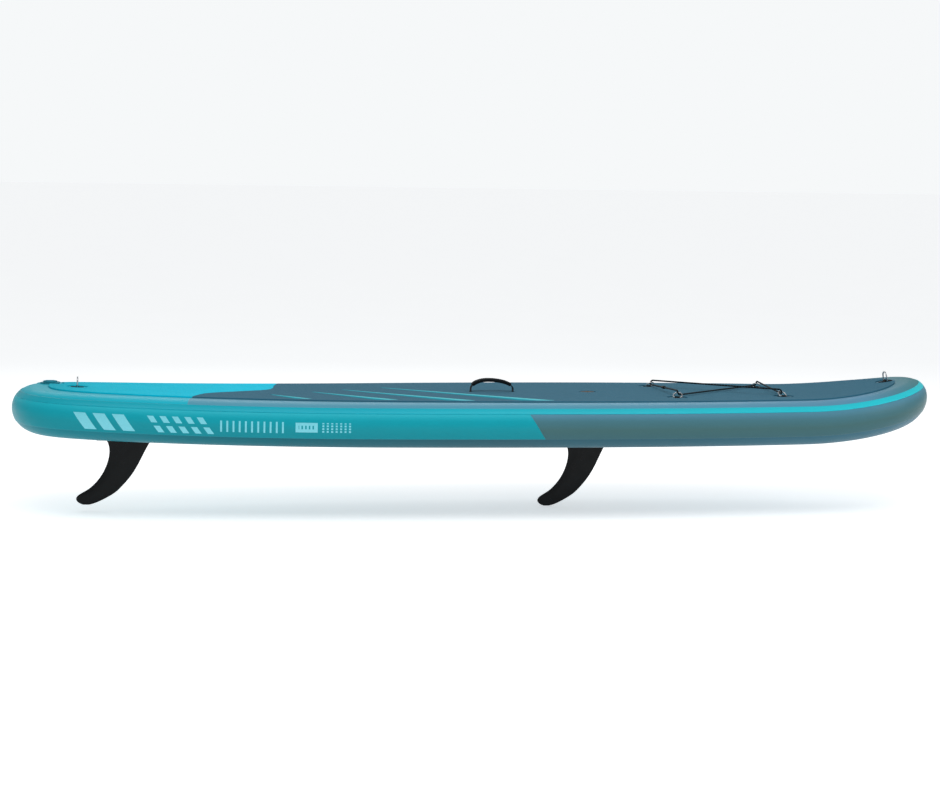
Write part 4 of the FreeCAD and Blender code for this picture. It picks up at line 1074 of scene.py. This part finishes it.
def build_pads():
    slab = grooved_slab()
    cut(slab, pad_outline(), -CHAMFER_SLOPE, "INTERSECT")
    for cutter in pad_openings() + pad_recesses():
        combine(slab, cutter, "DIFFERENCE")
        discard(cutter)
    tail = copy_of(slab, "tail_foam_pad")
    cut(tail, wave_outline(0.0), -CHAMFER_SLOPE, "INTERSECT")
    cut(slab, wave_outline(PAD_GAP), CHAMFER_SLOPE, "DIFFERENCE")

    for name in PAD_SLASHES:
        inlay = copy_of(slab, name.replace("pad_slash", "slash_inlay"))
        shrunk = offset_polygon(counter_clockwise(slash_outline(name)), -PAD_GAP)
        cut(inlay, shrunk, -CHAMFER_SLOPE, "INTERSECT")
        finish_pad(inlay)
        mark_across(inlay, name)
        piece(inlay, "hull", "slash", "eva_teal", name)
    for name in PAD_SLASHES:
        cut(slab, slash_outline(name), CHAMFER_SLOPE, "DIFFERENCE")
    slab.name = "main_foam_pad"
    piece(finish_pad(slab), "hull", "pad", "eva_slate", "main_deck_pad")
    piece(finish_pad(tail), "hull", "tail_pad", "eva_cyan", "tail_deck_pad")


def mark_across(obj, name):
    """Stores how far each point lies from a slash's rear edge to its front edge."""
    tip_station, tip_side, end_station, end_side, width = PAD_SLASHES[name]
    points = np.array([vertex.co for vertex in obj.data.vertices])
    share = (points[:, 1] - tip_side) / (end_side - tip_side)
    centre = tip_station + (end_station - tip_station) * share + TAIL_X
    half = (SLASH_TIP + (width - SLASH_TIP) * share) / 2
    across = np.clip((points[:, 0] - centre) / half / 2 + 0.5, 0, 1)
    layer = obj.data.attributes.new("across", "FLOAT", "POINT")
    layer.data.foreach_set("value", across.astype(np.float32))


# ---------------------------------------------------------------- patches

def patch(name, x, y, radius, hole=0.0):
    """A welded round patch that follows the deck, with a soft rim and two weld rings."""
    turns = full_turn(96)
    low, high = LAYER_GAP, LAYER_GAP + PATCH_THICKNESS
    rim, weld_half, weld_depth = 0.5 * MM, 0.9 * MM, 0.22 * MM
    spots = [(radius, low), (radius, high - rim), (radius - rim, high)]
    for weld in (radius - 3.0 * MM, radius - 8.0 * MM):
        spots += [(weld + weld_half, high), (weld, high - weld_depth), (weld - weld_half, high)]
    inner = max(hole, 0.2 * MM)
    spots += [(reach, high) for reach in np.linspace(radius - 10 * MM, inner, 4)] + [(inner, low)]
    rows = []
    for reach, height in spots:
        px, py = x + reach * np.cos(turns), y + reach * np.sin(turns)
        rows.append(np.stack([px, py, deck_height(px) + height], -1))
    size = len(rows), len(turns)
    faces = grid_faces(*size, loop_rows=True, loop_columns=True) if hole else stack_faces(*size)
    return clean(make_object(name, np.array(rows), faces), sharp=50)


# ---------------------------------------------------------------- carry handle

def arch_points(first, last, count):
    """Points of the handle's arch; the turn runs from 0 at the front foot to 180 at the rear."""
    rise = HANDLE_TOP - HANDLE_PIVOT.z
    points = []
    for turn in np.radians(np.linspace(first, last, count)):
        reach = HANDLE_FRONT_X - HANDLE_APEX_X if turn < math.pi / 2 else HANDLE_APEX_X - HANDLE_REAR_X
        x = HANDLE_APEX_X + reach * math.cos(turn)
        points.append((x, 0.0, HANDLE_PIVOT.z + rise * math.sin(turn)))
    return points


def foot_points(x, way, end):
    """One foot of the strap, from its end on the deck up through the bend."""
    turn = math.sin(math.radians(45))
    return [(end, 0, FOOT_Z), (x + way * 2 * FOOT_BEND, 0, FOOT_Z), (x + way * FOOT_BEND, 0, FOOT_Z),
            (x + way * FOOT_BEND * (1 - turn), 0, FOOT_Z + FOOT_BEND * (1 - turn)),
            (x, 0, FOOT_Z + FOOT_BEND)]


def build_strap():
    rear = foot_points(HANDLE_REAR_X, -1, FEET_LOW.x)
    front = foot_points(HANDLE_FRONT_X, 1, FEET_HIGH.x)
    points = rear + arch_points(180, 0, 31) + front[::-1]
    web = strap("handle_strap", resample(points, 1.6 * MM), WEB_WIDTH, WEB_THICKNESS)
    dress(web, "webbing")
    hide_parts("handle_webbing", "handle_feet")
    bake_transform(web)


def build_sleeve():
    """The soft grip round the strap, creased on its inside, with two rows of stitches on top."""
    grip_low, grip_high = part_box("handle_grip")
    width, deep = grip_high.y - grip_low.y, 13 * MM
    end_length = crease_pitch = 9 * MM
    squareness = 0.62
    path = resample(arch_points(155, 25, 41), 1.2 * MM)
    length = travelled(path)
    normals = np.cross(tangents_of(path), ACROSS)
    ends = np.minimum(length, length[-1] - length)
    taper = np.clip(ends / end_length, 0, 1)
    swell = 0.74 + 0.24 * np.sqrt(1 - (1 - taper) ** 2)
    creases = 1 - 0.012 * (1 + np.cos(2 * math.pi * length / crease_pitch))
    rows = []
    for angle in full_turn(48):
        across = np.sign(math.cos(angle)) * abs(math.cos(angle)) ** squareness * width / 2
        out = np.sign(math.sin(angle)) * abs(math.sin(angle)) ** squareness * deep / 2
        crease = creases if out < 0 else 1.0
        rows.append(path + (across * swell)[:, None] * ACROSS
                    + (out * swell * crease)[:, None] * normals)
    faces = sleeve_faces(len(rows), len(path))
    grip = clean(make_object("handle_sleeve", np.array(rows), faces), sharp=50)
    piece(grip, "handle", "neoprene", "neoprene", "handle_grip")

    runs = []
    for side in (-1, 1):
        top = path + normals * (deep / 2 * 0.97) + ACROSS * (side * width * 0.30)
        picks = top[6:-6:6]
        runs += list(zip(picks, picks[1:]))
    piece(stitches("handle_sleeve_seam", runs), "handle", "thread", "neoprene")


def build_handle():
    build_strap()
    build_sleeve()
    stands_for = {"rear": ["handle_patches"], "front": []}
    for name, x, way in HANDLE_ENDS:
        disc = patch("handle_patch_" + name, x + way * HANDLE_PATCH_SHIFT, 0, HANDLE_PATCH)
        piece(disc, "hull", "patch_slate", "pvc_slate", *stands_for[name])


# ---------------------------------------------------------------- ring loops

def ring_loop(name, matrix, wire, width):
    """Webbing folded over a ring's bar and sewn down on both sides."""
    layer = 1.1 * MM
    base = 2 * LAYER_GAP + PATCH_THICKNESS
    axis = base + 1.2 * MM + wire + 0.15 * MM
    reach = wire + 0.15 * MM + layer / 2 + 0.05 * MM
    half_length = 22 * MM
    upper = base + 1.5 * layer
    points = [(-half_length, upper), (-reach * 2.1, upper), (-reach * 1.5, upper + 0.3 * MM)]
    for angle in np.radians(np.linspace(165, 15, 11)):
        points.append((reach * math.cos(angle), axis + reach * math.sin(angle)))
    points += [(reach * 1.5, upper + 0.3 * MM), (reach * 2.1, upper), (half_length, upper)]
    over = strap("over", resample([(x, 0, z) for x, z in points], 1.0 * MM), width, layer)
    lower = base + 0.5 * layer
    flat = [(x, 0, lower) for x in np.linspace(-half_length, half_length, 12)]
    under = strap("under", np.array(flat), width, layer)
    runs = []
    top = upper + layer / 2 - 0.05 * MM
    side = width / 2 - 2 * MM
    for way in (-1, 1):
        near, far = way * reach * 2.4, way * (half_length - 2 * MM)
        a, b, c, d = [(x, y, top) for y in (-side, side) for x in (near, far)]
        runs += [(a, b), (c, d), (a, c), (b, d), (a, d), (c, b)]
    sewing = stitches(name + "_stitching", runs, pitch=2.6 * MM, radius=0.3 * MM)
    for part in (over, under, sewing):
        part.data.transform(matrix)
    return join(name, [over, under]), sewing


def build_rings():
    for end, look, slot in (("nose", "patch_slate", "pvc_slate"), ("tail", "patch_cyan", "pvc_cyan")):
        x = round(pivot_of(end + "_ring_swing").x, 3)
        piece(patch(end + "_ring_patch", x, 0, RING_PATCH), "hull", look, slot, end + "_patch")
        loop, sewing = ring_loop(end + "_ring_loop", deck_matrix(x, 0), 2.5 * MM, 26 * MM)
        piece(loop, "hull", "webbing", "webbing", end + "_loop")
        piece(sewing, "hull", "thread", "webbing")

    loops, seams, discs = [], [], []
    for corner in BUNGEE_CORNERS:
        joint = joint_of("bungee_ring_%s_swing" % corner)
        x, y, _ = joint["pos_m"]
        turn = math.atan2(-joint["axis"][0], joint["axis"][1])
        loop, sewing = ring_loop("loop_" + corner, deck_matrix(x, y, turn), 2.0 * MM, 19 * MM)
        loops.append(loop)
        seams.append(sewing)
        discs.append(patch("disc_" + corner, x, y, RING_PATCH))
    piece(join("bungee_loop_set", loops), "hull", "webbing", "webbing", "bungee_loops")
    piece(join("bungee_loop_stitching", seams), "hull", "thread", "webbing")
    piece(join("bungee_patch_set", discs), "hull", "patch_slate", "pvc_slate", "bungee_patches")


# ---------------------------------------------------------------- bungee cord

def cord_turn(corner, half_angle):
    """The cord's turn round one ring's crown, from its upper leg to its lower leg."""
    joint = joint_of("bungee_ring_%s_swing" % corner)
    ahead = np.array([joint["axis"][1], -joint["axis"][0], 0.0])
    beside = np.array([-ahead[1], ahead[0], 0.0])
    up = np.array(UP, float)
    tilt = math.radians(38)
    crown, wrap = 23.5 * MM, 7.2 * MM
    centre = np.array(joint["pos_m"]) + ahead * (crown * math.cos(tilt)) + up * (crown * math.sin(tilt))
    drift = wrap * math.tan(half_angle)
    points = []
    for angle in np.linspace(math.pi / 2, 3 * math.pi / 2, 9):
        spot = centre + ahead * (wrap * math.cos(angle)) + up * (wrap * math.sin(angle))
        points.append(spot + beside * (drift * (math.pi - angle)))
    return points


def between(start, end, spacing=0.02):
    """Points of a straight run, without its ends."""
    legs = max(2, int(np.linalg.norm(end - start) / spacing))
    return [start + (end - start) * (step / legs) for step in range(1, legs)]


def build_bungee():
    rear = pivot_of("bungee_ring_rear_left_swing")
    front = pivot_of("bungee_ring_front_left_swing")
    diagonal = math.atan2(rear.y + front.y, front.x - rear.x)
    half_angle = (math.pi / 2 - diagonal) / 2
    turns = {corner: cord_turn(corner, half_angle) for corner in BUNGEE_CORNERS}
    start = (turns["rear_left"][-1] + turns["rear_right"][0]) / 2
    points = [start]
    for turn in (turns["rear_right"], turns["front_left"][::-1], turns["front_right"][::-1],
                 turns["rear_left"]):
        points += between(points[-1], turn[0])
        points += turn
    points += between(points[-1], start)

    def braid(distance, turn):
        lay = 2 * math.pi * distance / (9 * MM)
        strands = np.abs(np.sin(4 * turn + lay)) * np.abs(np.sin(4 * turn - lay))
        return CORD_RADIUS * (0.94 + 0.06 * strands)

    cord = tube("bungee_braid", resample(points, 1.1 * MM), braid, around=20)
    piece(cord, "hull", "cord", "cord", "bungee_cord")


# ---------------------------------------------------------------- valve

def ridge_ring(name, z, radius, height, count, deep, wide):
    """Small rounded grip ridges standing round a circle about the valve's axis."""
    points, faces = [], []
    section = ((-wide, -deep), (-wide * 0.6, deep * 0.7), (0, deep), (wide * 0.6, deep * 0.7),
               (wide, -deep))
    # height of each ring of points and how far it has shrunk
    levels = ((0.0, 1.0), (height * 0.85, 1.0), (height, 0.6))
    for number in range(count):
        angle = 2 * math.pi * number / count
        out = np.array([math.cos(angle), math.sin(angle), 0.0])
        side = np.array([-out[1], out[0], 0.0])
        faces += stack_faces(len(levels), len(section), start=len(points))
        for rise, shrink in levels:
            foot = np.array([VALVE.x, VALVE.y, z + rise])
            points += [foot + out * (radius + reach * shrink) + side * (spot * shrink)
                       for spot, reach in section]
    return clean(make_object(name, points, faces), distance=1e-7, sharp=45)


def build_valve():
    disc = patch("valve_ring_patch", VALVE.x, VALVE.y, VALVE_PATCH, hole=VALVE_PATCH_HOLE)
    piece(disc, "hull", "patch_cyan", "pvc_cyan", "valve_patch")
    build_spring()
    cap_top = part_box("valve_cap")[1].z
    knobs = ridge_ring("valve_cap_ridges", cap_top - 2.4 * MM, radius=23.7 * MM, height=2.0 * MM,
                       count=28, deep=0.5 * MM, wide=0.9 * MM)
    piece(knobs, "valve_cap", "valve", "black_plastic")
    bar = raised_bar("valve_cap_bar", cap_top - 0.3 * MM, length=30 * MM, width=6 * MM, height=2.3 * MM)
    piece(bar, "valve_cap", "valve", "black_plastic")
    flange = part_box("valve_body")[1].z
    grips = ridge_ring("valve_flange_ridges", flange - 2.6 * MM, radius=30.8 * MM, height=1.6 * MM,
                       count=36, deep=0.35 * MM, wide=0.8 * MM)
    piece(grips, "hull", "valve", "grey_plastic")
    build_tether()


def build_tether():
    """The cap's strap: a collar under the cap and a link to the anchor ring, which stays put."""
    low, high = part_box("cap_tether")
    anchor_x, strap_z = high.x, low.z + 0.9 * MM
    anchor_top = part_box("tether_anchor")[1].z
    route = [(anchor_x - 1.2 * MM, anchor_top + 0.3 * MM), (anchor_x - 2.2 * MM, strap_z + 0.4 * MM),
             (anchor_x - 5 * MM, strap_z + 1.0 * MM), (anchor_x - 8 * MM, strap_z + 1.0 * MM),
             (VALVE.x + 23.2 * MM, strap_z + 0.8 * MM)]
    path = resample([(x, VALVE.y, z) for x, z in route], 0.7 * MM)
    link = strap("tether_link", path, 6 * MM, 1.4 * MM, rib_pitch=3 * MM)
    turns = full_turn(72)
    inner, outer, corner = 21.2 * MM, 23.9 * MM, 0.4 * MM
    under, top = strap_z + 0.1 * MM, strap_z + 1.4 * MM
    section = [(inner, under), (outer - corner, under), (outer, under + corner),
               (outer, top - corner), (outer - corner, top), (inner, top)]
    rows = [np.stack([VALVE.x + reach * np.cos(turns), VALVE.y + reach * np.sin(turns),
                      np.full_like(turns, z)], -1) for reach, z in section]
    faces = grid_faces(len(rows), len(turns), loop_rows=True, loop_columns=True)
    collar = clean(make_object("collar", np.array(rows), faces), sharp=40)
    tether = join("cap_tether_strap", [collar, link])
    dress(tether, "valve")
    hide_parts("cap_tether")
    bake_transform(tether)


def build_spring():
    """The valve's return spring."""
    low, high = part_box("valve_spring")
    wire, coils = 0.6 * MM, 5
    radius = (high.x - low.x) / 2 - wire
    turns = np.linspace(0, 2 * math.pi * coils, 36 * coils)
    heights = np.linspace(low.z + wire, high.z - wire, len(turns))
    path = np.stack([VALVE.x + radius * np.cos(turns), VALVE.y + radius * np.sin(turns), heights], -1)
    coil = tube("valve_coil", path, wire, around=10)
    piece(coil, "hull", "steel", "steel", "valve_spring")
    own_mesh(coil)


def raised_bar(name, z, length, width, height):
    """A low raised bar with rounded ends and a soft top, across the middle of the valve."""
    turns = full_turn(40)
    straight = length / 2 - width / 2
    shift = np.where(np.cos(turns) > 0, straight, -straight)
    rows = []
    for inset, rise in ((0.0, 0.0), (0.0, 0.55), (0.12, 0.85), (0.35, 1.0)):
        radius = width / 2 * (1 - inset)
        rows.append(np.stack([VALVE.x + shift + radius * np.cos(turns),
                              VALVE.y + radius * np.sin(turns),
                              np.full_like(turns, z + rise * height)], -1))
    bar = make_object(name, np.array(rows), stack_faces(len(rows), len(turns)))
    return clean(bar, sharp=40)


# ---------------------------------------------------------------- carried-over CAD pieces

FINS = ("tail_fin", "centre_fin")
CAD_LOOKS = {
    "inner": ["inner_rail_wall"],
    "yarn": ["drop_stitch_yarns"],
    "patch_slate": ["mast_foot_patch"],
    "patch_bottom": [fin + "_patch" for fin in FINS],
    "black": ["mast_foot_insert", "bungee_joiner"],
    "grey": ["valve_nut", "valve_stem"],
    "valve": ["valve_body", "valve_cap", "tether_anchor"],
    "seal": ["valve_gasket", "valve_stem_seal", "valve_cap_seal"],
    "box": [fin + "_box" for fin in FINS],
    "fin": list(FINS),
    "brass": ["mast_foot_thread"] + [fin + part for fin in FINS for part in ("_pin", "_plate")],
    "steel": (["nose_ring", "tail_ring"] + ["bungee_ring_" + corner for corner in BUNGEE_CORNERS]
              + [fin + "_screw" for fin in FINS]),
}
# width of the rounding on the edges of the larger moulded and welded pieces
SOFT_EDGES = {"mast_foot_insert": 0.6 * MM, "valve_cap": 0.5 * MM, "valve_body": 0.6 * MM,
              "tether_anchor": 0.4 * MM, "bungee_joiner": 0.6 * MM}
for fin in FINS:
    SOFT_EDGES.update({fin + "_box": 0.8 * MM, fin + "_patch": 0.3 * MM})


def dress_frame():
    for look, names in CAD_LOOKS.items():
        for name in names:
            dress(frame["nodes"][name], look)
    for name, width in SOFT_EDGES.items():
        modifiers = frame["nodes"][name].modifiers
        weld = modifiers.new("joined_faces", "WELD")
        weld.merge_threshold = 0.005 * MM
        rounding = modifiers.new("soft_edges", "BEVEL")
        rounding.width = width
        rounding.segments = 2
        rounding.limit_method = "ANGLE"
        rounding.angle_limit = math.radians(50)
        rounding.use_clamp_overlap = True


# ---------------------------------------------------------------- floor, light and camera

def build_floor():
    """A pale floor under the fins that can't be seen from below."""
    reach = 90.0
    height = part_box("centre_fin")[0].z - MM
    corners = [(-reach, -reach), (reach, -reach), (reach, reach), (-reach, reach)]
    floor = make_object("floor", [(x, y, height) for x, y in corners], [(0, 1, 2, 3)])
    look = Look("floor", roughness=0.9, specular=0.05)
    pale = look.shade(paint("#f4f5f6"), look.noise(2.0, 4.0), 0.02)
    look.colour(pale)
    look.feed(look.surface.inputs["Emission Color"], pale)
    look.surface.inputs["Emission Strength"].default_value = 0.61
    clear = look.new("ShaderNodeBsdfTransparent")
    geometry = look.new("ShaderNodeNewGeometry")
    mixer = look.new("ShaderNodeMixShader")
    output = next(node for node in look.tree.nodes if node.type == "OUTPUT_MATERIAL")
    for source, socket in ((geometry.outputs["Backfacing"], mixer.inputs[0]),
                           (look.surface.outputs[0], mixer.inputs[1]),
                           (clear.outputs[0], mixer.inputs[2]),
                           (mixer.outputs[0], output.inputs["Surface"])):
        look.tree.links.new(source, socket)
    floor.data.materials.append(look.material)


def build_world():
    """A pale studio: plain white to the camera and dimmer as a source of light."""
    world = bpy.data.worlds.new("studio")
    world.use_nodes = True
    tree = world.node_tree
    background = tree.nodes["Background"]
    background.inputs[0].default_value = paint("#f6f8f9")
    rays = tree.nodes.new("ShaderNodeLightPath")
    strength = tree.nodes.new("ShaderNodeMapRange")
    strength.inputs["To Min"].default_value = 0.42
    strength.inputs["To Max"].default_value = 1.0
    tree.links.new(rays.outputs["Is Camera Ray"], strength.inputs["Value"])
    tree.links.new(strength.outputs[0], background.inputs[1])
    SCENE.world = world


def build_lamps():
    # name, place, target, size and power in watts
    for name, place, target, size, power in (
            ("key", (-0.6, -2.2, 3.6), (-0.4, 0, 0), (5.0, 2.2), 78),
            ("back", (-0.4, 3.4, 2.6), (-0.4, 0, 0), (5.0, 1.6), 46),
            ("nose_side", (4.0, -1.6, 1.4), (0.9, 0, 0), (1.8, 1.8), 22)):
        lamp = bpy.data.lights.new(name, "AREA")
        lamp.shape = "RECTANGLE"
        lamp.size, lamp.size_y = size
        lamp.energy = power
        holder = bpy.data.objects.new(name, lamp)
        holder.location = place
        holder.rotation_euler = (Vector(target) - Vector(place)).to_track_quat("-Z", "Y").to_euler()
        SCENE.collection.objects.link(holder)


def build_camera():
    lens = bpy.data.cameras.new("camera")
    lens.sensor_width = 36.0
    lens.lens = 88.44
    lens.shift_x = 0.0457
    lens.clip_end = 300
    camera = bpy.data.objects.new("camera", lens)
    camera.location = (-1.8352, -7.8195, 0.8009)
    camera.rotation_euler = (1.46956, -0.01553, -0.15928)
    SCENE.collection.objects.link(camera)
    SCENE.camera = camera


build_skins()
build_bands()
build_pads()
build_handle()
build_rings()
build_bungee()
build_valve()
dress_frame()
build_floor()
build_world()
build_lamps()
build_camera()
SCENE.view_settings.view_transform = "Standard"
